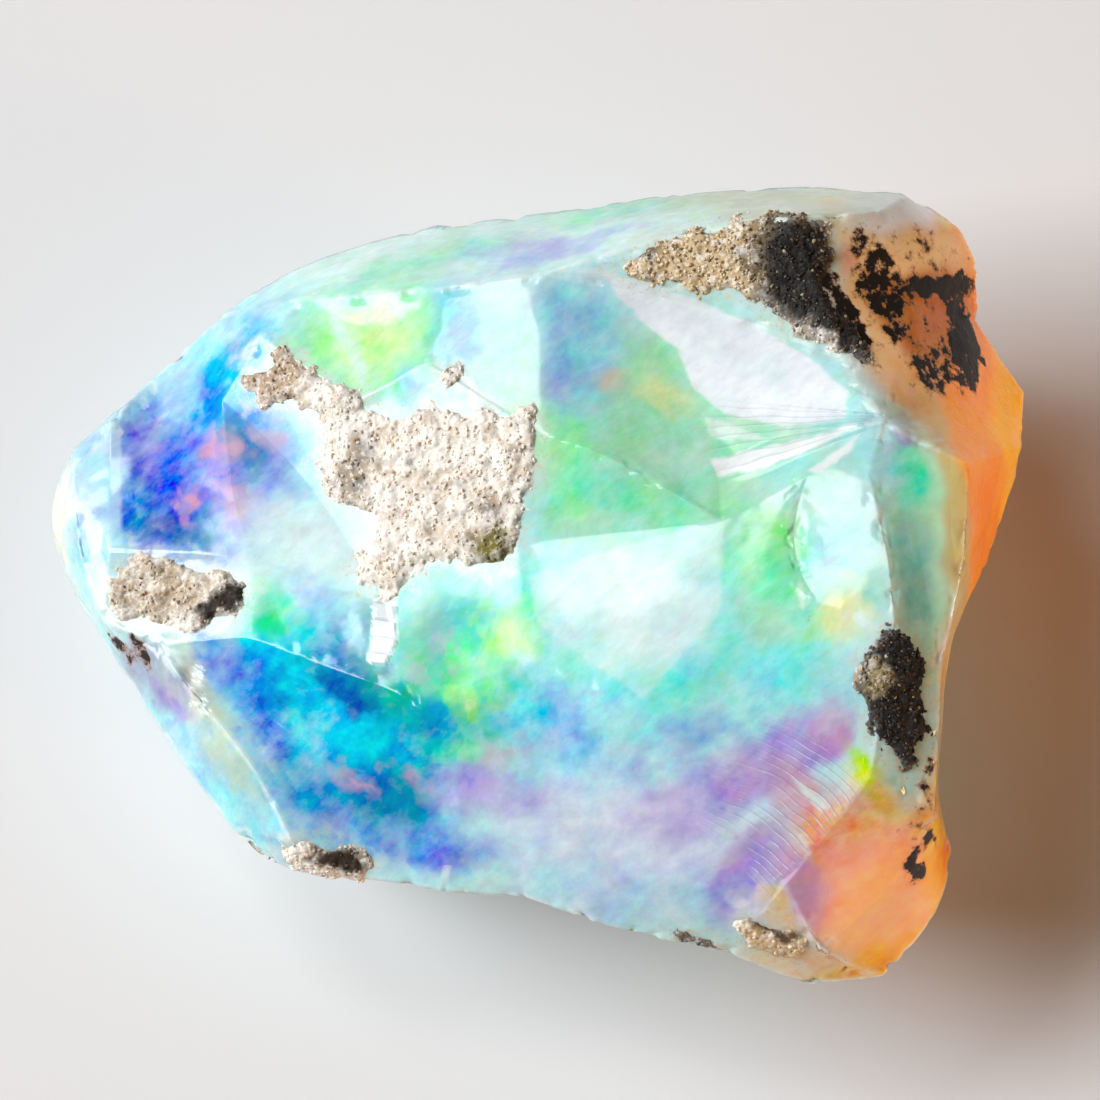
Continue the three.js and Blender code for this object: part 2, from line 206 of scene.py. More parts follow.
# Play of colour: name, centre (u, w), half lengths, turn in degrees, colour, strength.
# Later zones lie over earlier ones. Some are painted glare and glints, each marked where it stands.
FLASHES = (
    # Broad grounds of the faces.
    ("south_ground", (3.6, -7.2), (6.0, 3.6), -8, "ice", 0.95),
    ("south_lilac", (2.6, -8.0), (4.0, 1.2), -8, "lilac", 0.5),
    ("south_milk", (2.8, -7.6), (4.4, 1.4), -8, "white", 0.4),
    ("middle_ground", (3.6, -1.6), (6.0, 3.4), 0, "aqua", 0.9),
    # Painted glare: milk over the big middle facet, where it mirrors the lamp.
    ("big_painted_glare", (3.0, -0.6), (2.6, 1.7), -10, "milk", 0.9),
    ("scoop_ground", (3.6, 4.4), (5.0, 3.6), -10, "mint", 0.95),
    ("west_ground", (-10.4, 3.0), (3.4, 3.0), 0, "periwinkle", 0.9),
    ("east_ground", (11.4, 1.0), (1.0, 4.4), 0, "mint", 0.85),
    # Far bevel and the north-west shoulder.
    ("bevel_ground", (1.0, 10.8), (11.0, 1.6), 7, "frost", 0.7),
    ("bevel_lilac", (0.4, 10.1), (3.0, 0.35), 9, "lilac", 0.9),
    ("bevel_green", (-3.4, 9.7), (3.2, 0.5), 14, "emerald", 0.35),
    ("bevel_aqua", (3.4, 11.4), (3.6, 0.35), 7, "emerald", 0.45),
    ("bevel_sand", (8.0, 11.6), (4.2, 0.7), 0, "sand", 0.85),
    ("shoulder_sky", (-9.8, 6.8), (2.8, 1.2), 42, "sky", 0.7),
    ("shoulder_teal", (-9.2, 6.9), (0.5, 0.9), -40, "teal", 0.5),
    ("shard_azure", (-8.6, 7.2), (0.7, 0.8), 40, "azure", 0.5),
    ("meadow", (-4.8, 7.2), (2.9, 1.8), 0, "leaf", 0.75),
    ("meadow_lime", (-5.0, 7.2), (1.5, 1.3), 0, "lime", 0.85),
    ("meadow_edge", (-2.4, 7.5), (0.8, 1.6), 10, "sky", 0.8),
    ("meadow_leaf", (-5.6, 7.0), (1.5, 0.22), -62, "milk", 0.8),
    # Painted glint: a white fleck on the north-west shoulder.
    ("shard_painted_glint", (-8.8, 7.0), (0.55, 0.22), 70, "white", 0.9),
    ("shard_sky", (-3.6, 5.9), (0.9, 0.25), -35, "sky", 0.8),
    ("shard_teal", (-2.4, 6.2), (0.8, 0.15), -30, "teal", 0.45),
    ("shard_milk", (-1.8, 5.6), (0.9, 0.25), -35, "white", 0.85),
    # West face.
    ("west_cobalt", (-11.9, 3.0), (1.2, 2.0), 0, "cobalt", 0.6),
    ("west_navy", (-12.2, 2.6), (0.5, 1.3), 10, "navy", 0.5),
    ("west_violet", (-12.0, 4.2), (0.8, 0.8), 0, "violet", 0.55),
    ("west_rose", (-9.9, 3.2), (1.3, 0.8), 35, "violet", 0.45),
    # Painted glints: two white flecks on the west face.
    ("west_painted_glint", (-10.1, 5.2), (0.35, 0.12), -70, "white", 0.8),
    ("tip_painted_glint", (-11.6, 4.8), (0.3, 0.12), 50, "white", 0.8),
    ("west_azure", (-9.3, 5.1), (0.9, 1.8), 8, "azure", 1.0),
    ("west_teal", (-9.0, 4.0), (0.5, 0.9), 0, "teal", 0.8),
    ("west_foot", (-10.9, 1.4), (1.9, 0.5), -10, "teal", 0.7),
    ("west_tip", (-13.8, 2.6), (0.9, 2.2), 0, "sky", 0.9),
    ("west_tip_teal", (-14.0, 3.2), (0.3, 0.9), -20, "teal", 0.5),
    ("tip_cream", (-14.9, 1.6), (0.5, 2.4), 0, "cream", 0.9),
    # Painted glare: milk where the west face mirrors the lamp.
    ("west_painted_glare", (-7.3, 1.2), (2.0, 1.3), 0, "milk", 0.8),
    ("rose_tip", (-10.8, 2.2), (0.5, 0.35), 20, "rose", 0.8),
    ("rose_rise", (-9.5, 3.8), (0.6, 0.35), 40, "rose", 0.8),
    ("rose_crest", (-8.3, 4.2), (0.5, 0.4), 0, "rose", 0.6),
    ("rose_low", (-9.1, 2.3), (0.4, 0.4), 0, "rose", 0.75),
    # South-west: the deep blue face, the hollow beside it and its pale bevel.
    ("deep_azure", (-6.3, -4.9), (4.4, 3.3), -30, "azure", 1.0),
    ("deep_cyan", (-6.0, -4.6), (2.2, 1.2), -12, "cyan", 0.85),
    ("periwinkle", (-9.6, -2.8), (1.3, 1.1), -50, "periwinkle", 0.9),
    ("deep_cobalt", (-8.5, -4.5), (1.5, 0.7), -45, "cobalt", 0.9),
    ("deep_navy", (-7.2, -6.2), (0.6, 1.2), 35, "navy", 0.75),
    ("deep_navy_north", (-8.1, -3.6), (0.8, 0.5), -40, "navy", 0.6),
    ("sea_cyan", (-7.2, -2.4), (1.9, 0.8), -35, "cyan", 0.95),
    ("west_emerald", (-8.0, -0.9), (1.0, 0.8), -20, "emerald", 0.95),
    ("window_pale", (-6.0, -0.9), (1.4, 0.7), -25, "sky", 0.8),
    ("window_teal", (-4.9, -1.7), (0.9, 0.9), 0, "teal", 0.45),
    # Sea blue fire, deepened along under the window's edge as painted shade.
    ("deep_teal", (-5.1, -3.2), (2.0, 0.65), -20, "sea", 1.0),
    ("deep_foot", (-6.8, -6.3), (1.0, 1.2), 30, "azure", 0.9),
    ("teal", (-4.3, -6.7), (1.5, 1.1), 0, "teal", 0.9),
    ("rose_dab_west", (-5.5, -6.1), (0.5, 0.4), 0, "rose", 0.75),
    ("rose_dab_east", (-3.6, -6.0), (0.35, 0.3), 0, "rose", 0.6),
    ("rose_dab_north", (-3.4, -1.5), (0.4, 0.6), 0, "rose", 0.45),
    ("foot_lilac", (-3.3, -8.2), (2.0, 0.7), -5, "periwinkle", 0.9),
    ("foot_haze", (-7.0, -7.7), (1.6, 0.6), -25, "sky", 0.85),
    ("bevel_blue", (-8.8, -4.9), (2.8, 0.45), -58, "sky", 1.0),
    ("bevel_cream", (-9.6, -4.5), (3.2, 0.45), -62, "corn", 0.6),
    ("bevel_milk", (-10.6, -3.2), (1.4, 0.22), -80, "cream", 0.8),
    ("hollow", (-11.8, -2.8), (1.6, 0.7), -45, "smoke", 0.85),
    ("hollow_crystal", (-11.3, -3.5), (1.0, 0.22), -42, "violet", 0.5),
    # Middle.
    ("middle_jade", (-2.6, -2.8), (2.2, 2.9), 15, "jade", 0.85),
    ("middle_teal", (-3.2, -1.6), (0.7, 0.8), 0, "teal", 0.4),
    ("leaf_west", (-1.9, -2.5), (0.9, 0.8), 0, "leaf", 0.6),
    ("leaf_east", (-0.7, -1.5), (0.9, 0.7), 30, "leaf", 0.8),
    ("lemon_dab", (-0.9, -1.7), (0.7, 0.35), 20, "lemon", 0.6),
    ("middle_azure", (-2.9, -4.2), (0.8, 0.5), -30, "azure", 0.7),
    ("middle_violet", (-3.0, -2.4), (0.4, 0.5), 0, "orchid", 0.6),
    ("lemon_foot", (-1.7, -3.4), (0.35, 0.5), 0, "lemon", 0.55),
    ("leaf_foot", (-1.9, -5.2), (0.6, 0.5), 0, "leaf", 0.6),
    ("middle_sky", (0.4, -4.2), (1.9, 1.6), 20, "sky", 0.85),
    ("middle_cyan", (-0.6, -3.9), (1.1, 0.5), -35, "cyan", 0.5),
    ("rose_dab_middle", (-1.1, -5.3), (0.6, 0.35), 35, "rose", 0.6),
    ("lilac_middle", (-1.2, -6.5), (1.9, 0.8), 5, "violet", 0.55),
    ("teal_smoke", (4.4, -5.0), (2.2, 0.7), 25, "sky", 0.8),
    ("scoop_foot_leaf", (0.8, 3.4), (0.9, 1.6), 0, "leaf", 0.6),
    ("scoop_emerald", (2.6, 2.6), (2.4, 0.7), -25, "emerald", 0.35),
    ("scoop_sky", (1.3, 7.0), (1.2, 2.2), 0, "sky", 0.85),
    ("scoop_cobalt", (0.6, 6.4), (0.35, 1.2), 0, "periwinkle", 0.45),
    ("scoop_peach", (2.3, 6.0), (0.4, 0.35), 0, "peach", 0.5),
    ("scoop_corn", (3.8, 5.4), (1.0, 0.5), -30, "corn", 0.7),
    # East.
    ("lime", (6.9, 0.6), (1.1, 1.7), 0, "leaf", 0.7),
    ("lime_foot", (7.6, -1.0), (1.6, 0.9), 0, "mint", 0.8),
    ("corn", (9.2, -1.2), (1.0, 0.7), 0, "corn", 0.9),
    ("east_emerald", (10.9, 3.4), (0.6, 1.2), 0, "emerald", 0.8),
    ("east_violet", (10.9, 4.5), (0.5, 0.3), -30, "violet", 0.7),
    # Painted glints: white flecks on the lens and in the corn patch.
    ("lens_painted_glint", (7.7, -0.3), (0.12, 0.4), 10, "white", 0.9),
    ("corn_painted_glint", (9.9, -1.3), (0.35, 0.15), -15, "white", 0.85),
    ("east_teal", (11.2, 0.2), (0.5, 2.0), 0, "teal", 0.3),
    ("violet", (7.0, -5.4), (2.4, 1.0), 38, "violet", 0.75),
    ("south_violet", (4.6, -6.9), (1.9, 1.0), 20, "violet", 0.45),
    ("orchid_foot", (6.6, -8.0), (1.4, 0.5), 40, "orchid", 0.6),
    ("rose", (8.0, -6.8), (2.0, 0.8), -48, "rose", 0.75),
    ("orchid_north", (8.5, -4.5), (0.6, 0.8), 0, "orchid", 0.85),
    ("violet_foot", (6.2, -9.2), (1.5, 0.7), 40, "violet", 0.6),
    # Painted glint: a white streak on the violet foot.
    ("violet_painted_glint", (6.2, -9.9), (0.8, 0.25), 42, "white", 0.6),
    ("leaf_edge", (10.0, -6.2), (1.4, 0.6), -46, "corn", 0.8),
    ("lemon_edge", (9.8, -6.0), (1.5, 0.28), -50, "lemon", 0.95),
    ("honey_flash", (10.0, -9.0), (2.3, 2.6), 0, "honey", 1.0),
    ("honey_glow", (10.4, -10.0), (1.4, 1.2), 0, "apricot", 0.7),
    ("honey_orchid", (7.9, -9.1), (0.7, 1.2), 30, "orchid", 0.85),
    ("honey_lilac", (9.2, -8.4), (1.0, 0.8), 40, "peach", 0.6),
    ("honey_peach", (9.4, -7.6), (1.2, 0.7), -30, "peach", 0.75),
    ("amber", (12.2, -8.4), (0.7, 2.4), 8, "amber", 1.0),
    ("amber_foot", (10.4, -11.4), (2.0, 0.6), 25, "amber", 0.8),
    ("tan_foot", (7.6, -11.5), (1.5, 0.9), -10, "tan", 0.9),
    ("foot_olive", (7.3, -10.1), (0.9, 0.5), -40, "tan", 0.9),
    ("cream_foot", (7.2, -11.3), (1.2, 0.6), -15, "cream", 0.6),
    # East side: tan where the stain sits, then glowing orange.
    ("north_tan", (9.6, 9.2), (0.8, 2.2), 12, "tan", 0.85),
    ("stain_ground", (11.7, 8.2), (2.1, 2.6), 0, "rust", 0.95),
    ("stain_clay", (12.2, 7.2), (0.8, 1.4), 10, "clay", 0.6),
    ("shoulder_tan", (11.0, 6.1), (2.9, 0.75), -48, "tan", 0.9),
    ("stain_tan", (11.4, 9.9), (2.2, 0.7), 0, "tan", 0.95),
    ("corner_lilac", (11.0, 11.0), (1.3, 0.6), 0, "lilac_white", 0.9),
    ("corner_corn", (12.6, 11.0), (0.6, 0.5), 0, "corn", 0.85),
    ("east_edge", (12.4, 1.6), (0.5, 3.6), 4, "olive", 0.9),
    ("peach_side", (13.2, 4.8), (0.8, 1.8), 10, "ember", 0.9),
    ("amber_rim", (14.6, 4.2), (0.8, 2.8), 0, "amber", 1.0),
    ("ember", (13.8, 1.2), (0.8, 2.4), 0, "glow", 1.0),
    ("amber_low", (12.6, -4.4), (0.7, 2.6), 0, "amber", 0.9),
)

# The stack of pleats, drawn by bump and a painted glint: its outline (u, w).
PLEATS = ((-4.9, -0.6), (-4.2, -0.6), (-4.15, -2.0), (-4.5, -2.65), (-5.05, -2.6), (-4.95, -1.6))

# Painted glare and milky patches, each up to a crisp edge: name, outline (u, w), colour, strength.
# The far and middle patches, the ribs and the pleats are painted highlights, white where a facet mirrors the
# lamp; at the tip facet and the two flakes a thin flake or a dull break looks milky.
PAINTED_GLARE_AND_FLAKES = (
    # Painted glare over the far face.
    (
        "far_painted_glare",
        (
            (1.9, 9.3), (4.5, 8.5), (6.8, 7.5), (8.4, 6.4), (9.35, 5.5), (9.2, 4.7), (7.5, 4.5),
            (5.6, 4.9), (4.7, 5.7), (4.3, 6.8), (3.05, 7.8),
        ),
        "lilac_white",
        0.9,
    ),
    # Painted glare over the big middle facet.
    ("middle_painted_glare", ((-0.2, 0.1), (5.6, 1.8), (5.45, -1.0), (3.2, -3.6), (0.06, -1.4)), "frost", 0.45),
    # Painted glare along the ribs.
    (
        "rib_wide_painted_glare",
        ((5.2, 3.55), (6.55, 3.83), (8.3, 4.2), (10.2, 4.8), (8.04, 3.75), (6.8, 3.25), (5.4, 3.0)),
        "white",
        0.95,
    ),
    ("rib_short_painted_glare", ((8.0, 3.15), (8.85, 3.7), (9.6, 4.3), (9.4, 3.8), (8.5, 3.1)), "white", 0.85),
    ("rib_far_painted_glare", ((5.06, 4.84), (6.15, 4.44), (7.1, 4.1), (5.2, 4.17)), "white", 0.5),
    ("tip_facet", ((-14.2, 3.6), (-12.8, 4.6), (-12.6, 0.9), (-13.8, 0.6)), "ice", 0.75),
    # Painted glint over the pleats.
    ("pleat_painted_glint", PLEATS, "white", 0.8),
    ("flake_north", ((7.5, -5.8), (8.1, -6.2), (8.7, -6.8), (8.4, -6.9), (7.9, -6.4)), "frost", 0.65),
    ("flake_south", ((7.6, -7.4), (7.9, -7.6), (8.2, -8.2), (8.0, -8.2), (7.7, -7.7)), "frost", 0.5),
)

# Flashes on the sides and the underside, in the order they are laid.
SIDE_FLASHES = ("aqua", "mint", "periwinkle", "lilac", "azure", "rose")

# Veils, where the break is dull and glare spreads: name, centre, half lengths, turn, strength.
VEILS = (
    ("big_veil", (3.4, -0.6), (3.6, 2.4), 0, 0.4),
    ("west_haze", (-7.2, 1.2), (2.2, 2.2), 0, 2.0),
    ("west_matt", (-8.6, 3.8), (1.6, 1.6), 0, 2.0),
    ("middle_matt", (-2.3, -2.0), (2.0, 1.7), 0, 2.0),
    ("sheen_veil", (6.2, 6.4), (3.6, 1.8), -40, 1.4),
    ("ridge_veil", (7.9, -8.9), (1.4, 0.5), 50, 1.6),
    ("far_veil", (0.0, 10.6), (10.0, 1.6), 7, 0.5),
    ("honey_veil", (10.0, -9.0), (2.4, 2.6), 0, 0.9),
)

# Patches of crust: name, outline (u, w), thickness as a share of the crust's own, and grittiness.
CRUSTS = (
    (
        "middle_crust",
        (
            (-9.0, 6.0), (-8.5, 6.4), (-8.0, 7.1), (-7.2, 6.9), (-6.5, 6.2), (-5.5, 5.6), (-4.5, 5.1),
            (-3.2, 5.2), (0.0, 5.1), (0.4, 4.5), (0.0, 2.5), (-0.2, 0.9), (-0.8, 0.3), (-1.8, 0.1),
            (-2.5, 0.5), (-3.3, 0.2), (-4.5, -0.7), (-5.4, -0.4), (-5.7, 0.2), (-5.2, 1.0),
            (-5.0, 1.8), (-6.2, 2.1), (-6.8, 3.5), (-6.5, 4.5), (-7.3, 5.1), (-8.7, 5.1),
        ),
        1.0,
        0.4,
    ),
    ("crumb", ((-3.3, 5.9), (-2.9, 6.6), (-2.3, 6.4), (-2.0, 5.8), (-2.7, 5.5)), 0.6, 0.4),
    (
        "far_crust",
        (
            (1.7, 9.3), (3.4, 10.2), (5.0, 10.7), (6.5, 11.0), (8.0, 11.1), (8.9, 10.7), (8.9, 9.0),
            (9.3, 7.9), (10.0, 6.9), (10.0, 6.4), (9.0, 6.6), (7.8, 6.9), (7.1, 7.5), (6.3, 8.3),
            (5.5, 8.4), (4.5, 8.5), (3.0, 8.7),
        ),
        0.7,
        1.0,
    ),
    (
        "west_crust",
        (
            (-13.3, 0.0), (-12.1, 0.9), (-11.0, 0.8), (-9.9, 0.4), (-8.4, -0.1), (-8.9, -1.2),
            (-10.3, -1.9), (-11.3, -1.6), (-12.3, -1.5), (-13.4, -1.0),
        ),
        1.2,
        0.3,
    ),
    (
        "south_east_crust",
        (
            (10.4, -1.2), (9.9, -1.7), (9.4, -2.4), (9.45, -3.9), (9.8, -4.9), (10.3, -5.3),
            (10.9, -6.2), (11.4, -6.0), (11.6, -4.4), (11.5, -2.4), (11.3, -1.5),
        ),
        0.5,
        0.9,
    ),
    (
        "foot_crust",
        ((5.9, -10.3), (6.5, -9.9), (7.2, -10.2), (8.3, -10.9), (8.1, -11.6), (7.0, -11.7), (6.2, -11.2)),
        0.12,
        0.2,
    ),
    ("south_crust", ((3.9, -10.5), (4.9, -10.7), (5.9, -11.0), (5.8, -11.4), (4.3, -11.0)), 0.3, 0.6),
    (
        "south_west_crust",
        ((-8.0, -7.9), (-6.9, -7.7), (-5.6, -7.9), (-4.6, -8.5), (-5.2, -9.4), (-7.6, -9.3)),
        0.4,
        0.4,
    ),
)

# Stains of manganese that have soaked into the opal: name, centre, half lengths, turn, strength.
STAINS = (
    ("edge_stain", (9.3, 8.0), (0.4, 1.8), 28, 0.8),
    ("blotch", (10.4, 8.8), (0.9, 1.6), 20, 0.72),
    ("blotch_head", (9.9, 10.0), (0.5, 0.7), 0, 0.62),
    ("blotch_foot", (10.9, 7.5), (0.6, 0.6), 0, 0.72),
    ("bar", (12.3, 8.8), (1.3, 0.5), 4, 0.95),
    ("east_bar", (13.0, 7.1), (0.6, 1.7), 4, 0.95),
    ("east_foot", (12.0, 6.3), (1.0, 1.0), 0, 0.66),
    ("dust", (11.4, 8.4), (2.3, 2.7), 0, 0.42),
    ("north_dust", (10.4, 10.2), (1.6, 0.4), 0, 0.3),
    ("south_stain", (11.2, -8.5), (0.35, 0.6), 0, 0.78),
    ("south_speck", (11.6, -7.7), (0.3, 0.5), 20, 0.7),
    ("south_dust", (11.3, -7.4), (0.6, 1.2), 0, 0.36),
    ("crack", (11.6, -5.8), (0.2, 1.2), -8, 0.6),
    ("rim_speck", (-2.8, 10.9), (0.4, 0.2), 10, 1.0),
    ("tip_speck", (-12.6, -2.2), (0.8, 0.2), -50, 0.6),
    ("hollow_rim", (-12.1, -2.3), (0.9, 0.25), -65, 0.62),
)

# Tints of the crust, laid over its sand: name, centre, half lengths, turn, colour, strength.
CRUST_TINTS = (
    ("middle_brown", (-8.2, 6.2), (1.3, 0.9), 0, "#A07A4C", 0.75),
    ("middle_grey", (-5.4, 3.2), (0.5, 1.3), -8, "#77706A", 0.75),
    ("middle_pale", (-2.6, 2.0), (2.0, 1.6), 0, "#F1E9DC", 0.6),
    ("middle_pit", (-1.2, 1.9), (0.3, 0.7), 20, "#6E5845", 0.8),
    ("olive_grain", (-1.3, 0.75), (0.7, 0.75), 0, "#726820", 1.0),
    ("far_tan", (5.4, 9.6), (3.6, 1.6), 5, "#CBAC74", 0.85),
    ("far_speck", (3.1, 9.8), (0.8, 0.25), 8, "#4C4034", 0.8),
    ("far_dark", (7.9, 9.2), (1.5, 2.2), 12, "#0C0907", 1.0),
    ("far_edge", (9.1, 7.7), (0.6, 1.9), 30, "#0E0A08", 1.0),
    ("lump_tan", (-11.6, -0.3), (1.8, 1.1), 0, "#AC9470", 0.75),
    # Painted shade at the east end of the lump, away from the light.
    ("lump_painted_shade", (-9.4, -0.7), (1.1, 0.4), 35, "#241C12", 1.0),
    ("south_east_black", (10.9, -3.4), (1.8, 3.4), 0, "#101013", 1.0),
    ("south_east_core", (10.1, -2.9), (0.35, 0.5), 0, "#9C8C58", 0.8),
    ("south_east_tail", (10.3, -5.7), (0.4, 0.4), 0, "#C49A68", 0.8),
    ("foot_tan", (7.2, -11.1), (1.6, 1.2), 0, "#E6CFA2", 0.95),
    ("foot_dark", (7.1, -10.5), (0.8, 0.22), -22, "#4A3520", 0.95),
    ("south_dark", (4.9, -10.9), (1.2, 0.5), -20, "#4C4540", 0.9),
    # Dark brown crust in the hollow, with the hollow's shade painted in.
    ("cavity_brown_and_shade", (-5.8, -8.5), (1.0, 0.45), -8, "#2E2112", 1.0),
)


# ---------------------------------------------------------------- mesh tools


def merged(node):
    """A CAD node's points in millimetres and its triangles, with doubles merged."""
    mesh = node.data
    mesh.calc_loop_triangles()
    points = np.empty(len(mesh.vertices) * 3)
    mesh.vertices.foreach_get("co", points)
    tris = np.empty(len(mesh.loop_triangles) * 3, int)
    mesh.loop_triangles.foreach_get("vertices", tris)
    points = points.reshape(-1, 3) / MM
    _, first, inverse = np.unique(
        np.round(points, 4), axis=0, return_index=True, return_inverse=True
    )
    return points[first], inverse.reshape(-1)[tris].reshape(-1, 3)


def edge_table(tris):
    """Edges, each triangle's three edges, and each edge's two triangles (-1 past a border)."""
    half = np.sort(tris[:, [0, 1, 1, 2, 2, 0]].reshape(-1, 2), axis=1)
    edges, index, count = np.unique(half, axis=0, return_inverse=True, return_counts=True)
    index = index.reshape(-1)
    order = np.argsort(index, kind="stable")
    start = np.concatenate([[0], np.cumsum(count)[:-1]])
    sides = np.full((len(edges), 2), -1)
    sides[:, 0] = order[start]
    double = count > 1
    sides[double, 1] = order[start[double] + 1]
    return edges, index.reshape(-1, 3), sides


def face_normals(points, tris):
    """The unit normal of each triangle."""
    a, b, c = (points[tris[:, k]] for k in range(3))
    normal = np.cross(b - a, c - a)
    return normal / np.maximum(np.linalg.norm(normal, axis=1, keepdims=True), 1e-12)


def point_normals(points, tris):
    """The unit normal at each point, weighted by the size of the triangles round it."""
    a, b, c = (points[tris[:, k]] for k in range(3))
    normal = np.cross(b - a, c - a)
    total = np.zeros_like(points)
    for k in range(3):
        np.add.at(total, tris[:, k], normal)
    return total / np.maximum(np.linalg.norm(total, axis=1, keepdims=True), 1e-12)


def edge_keys(edges):
    """One whole number for each edge, so that edges can be looked up."""
    return edges[:, 0].astype(np.int64) * 10_000_000 + edges[:, 1]


def find_ridges(points, tris, sure=14, likely=7):
    """Keys of the edges along ridges, sharp or mild, and how sharp the ridges at each point are."""
    edges, _, sides = edge_table(tris)
    normals = face_normals(points, tris)
    dot = (normals[sides[:, 0] // 3] * normals[sides[:, 1] // 3]).sum(1)
    bend = np.degrees(np.arccos(np.clip(dot, -1, 1)))
    way = points[edges[:, 1]] - points[edges[:, 0]]
    way /= np.linalg.norm(way, axis=1, keepdims=True)
    at_point = [[] for _ in points]
    for e in np.nonzero(bend > likely)[0]:
        at_point[edges[e, 0]].append(e)
        at_point[edges[e, 1]].append(e)
    chosen = bend > sure
    front = list(np.nonzero(chosen)[0])
    while front:
        e = front.pop()
        for p in edges[e]:
            for f in at_point[p]:
                if not chosen[f] and abs(way[e] @ way[f]) > 0.88:
                    chosen[f] = True
                    front.append(f)
    # How sharp the ridges that meet at a point are, from 0 for a mild bend to 1.
    sharpness = np.zeros(len(points))
    for i in (0, 1):
        np.maximum.at(sharpness, edges[chosen, i], smooth(bend[chosen], 12, 38))
    return edge_keys(edges[chosen]), sharpness


def refine(points, tris, ridges, chosen=None):
    """One round of Loop subdivision of the chosen triangles, with ridges kept."""
    edges, tri_edges, sides = edge_table(tris)
    chosen = np.ones(len(tris), bool) if chosen is None else chosen
    sharp = np.isin(edge_keys(edges), ridges) | (sides[:, 1] < 0)
    split = np.zeros(len(edges), bool)
    split[tri_edges[chosen].reshape(-1)] = True
    both = chosen[sides[:, 0] // 3] & chosen[sides[:, 1] // 3] & (sides[:, 1] >= 0)
    soft = split & both & ~sharp
    a, b = points[edges[:, 0]], points[edges[:, 1]]
    middle = (a + b) / 2
    # A half-edge k of a triangle runs from corner k to k + 1, and its tip is corner k + 2.
    tips = [points[tris[s // 3, (s % 3 + 2) % 3]] for s in (sides[:, 0], sides[:, 1])]
    middle[soft] = ((a + b) * 3 / 8 + (tips[0] + tips[1]) / 8)[soft]
    # Corners: a smooth one is pulled to its neighbours, one on a ridge only along the ridge.
    count = np.zeros(len(points), int)
    total = np.zeros_like(points)
    along = np.zeros(len(points), int)
    line = np.zeros_like(points)
    for i, j in ((0, 1), (1, 0)):
        np.add.at(count, edges[:, i], 1)
        np.add.at(total, edges[:, i], points[edges[:, j]])
        np.add.at(along, edges[sharp, i], 1)
        np.add.at(line, edges[sharp, i], points[edges[sharp, j]])
    free = np.ones(len(points), bool)
    free[tris[~chosen].reshape(-1)] = False
    share = (5 / 8 - (3 / 8 + np.cos(2 * np.pi / np.maximum(count, 1)) / 4) ** 2) / np.maximum(count, 1)
    moved = points.copy()
    loose = free & (along < 2)
    moved[loose] = ((1 - count * share)[:, None] * points + share[:, None] * total)[loose]
    ridge = free & (along == 2)
    moved[ridge] = (points * 3 / 4 + line / 8)[ridge]
    number = np.full(len(edges), -1)
    number[split] = len(points) + np.arange(split.sum())
    result = np.concatenate([moved, middle[split]])
    mids = number[tri_edges]
    cut = (mids >= 0).sum(1)
    pieces = [tris[cut == 0]]
    whole = cut == 3
    (v0, v1, v2), (m0, m1, m2) = tris[whole].T, mids[whole].T
    pieces += [np.stack(t, 1) for t in ((v0, m0, m2), (v1, m1, m0), (v2, m2, m1), (m0, m1, m2))]
    for k in range(3):
        turn = [k, (k + 1) % 3, (k + 2) % 3]
        one = (cut == 1) & (mids[:, k] >= 0)
        (v0, v1, v2), m0 = tris[one][:, turn].T, mids[one, k]
        pieces += [np.stack(t, 1) for t in ((v0, m0, v2), (m0, v1, v2))]
        two = (cut == 2) & (mids[:, turn[2]] < 0)
        (v0, v1, v2), (m0, m1, _) = tris[two][:, turn].T, mids[two][:, turn].T
        pieces += [np.stack(t, 1) for t in ((m0, v1, m1), (v0, m0, m1), (v0, m1, v2))]
    kept = edges[sharp & ~split & (sides[:, 1] >= 0)]
    cut_ridge = sharp & split & (sides[:, 1] >= 0)
    halves = [np.stack([edges[cut_ridge, i], number[cut_ridge]], 1) for i in (0, 1)]
    return result, np.concatenate(pieces), edge_keys(np.concatenate([kept] + halves))


def outline_distance(plan, outline):
    """Distance in millimetres from an outline, positive inside it."""
    corners = np.array(outline, float)
    best = np.full(len(plan), 1e9)
    inside = np.zeros(len(plan), bool)
    for a, b in zip(corners, np.roll(corners, -1, axis=0)):
        side = b - a
        t = np.clip(((plan - a) @ side) / (side @ side), 0, 1)
        best = np.minimum(best, np.linalg.norm(plan - a - t[:, None] * side, axis=1))
        spans = (a[1] > plan[:, 1]) != (b[1] > plan[:, 1])
        with np.errstate(divide="ignore", invalid="ignore"):
            cross = a[0] + (plan[:, 1] - a[1]) * side[0] / side[1]
        inside ^= spans & (plan[:, 0] < cross)
    return np.where(inside, best, -best)


def smooth(x, low, high):
    """0 at low, 1 at high, with a soft step between."""
    t = np.clip((x - low) / (high - low), 0, 1)
    return t * t * (3 - 2 * t)


def waves(points, size, octaves=1, shift=0.0):
    """Fractal noise between about -1 and 1, whose largest lumps are size millimetres wide."""
    offset = Vector((shift, shift * 1.7, shift * 0.6))
    return np.array([noise.fractal(Vector(p) / size + offset, 0.9, 2.1, octaves) for p in points.tolist()])


def pair(points, size, octaves, shift):
    """Two noises side by side, to push a place on the plane about."""
    return np.stack([waves(points, size, octaves, shift), waves(points, size, octaves, shift + 6)], 1)


def cells(points, size, shift=0.0):
    """Distance to the nearest and the second nearest of scattered seeds, in seed spacings."""
    offset = Vector((shift, shift * 1.3, shift * 2.1))
    near = [noise.voronoi(Vector(p) / size + offset)[0][:2] for p in points.tolist()]
    return np.array(near)


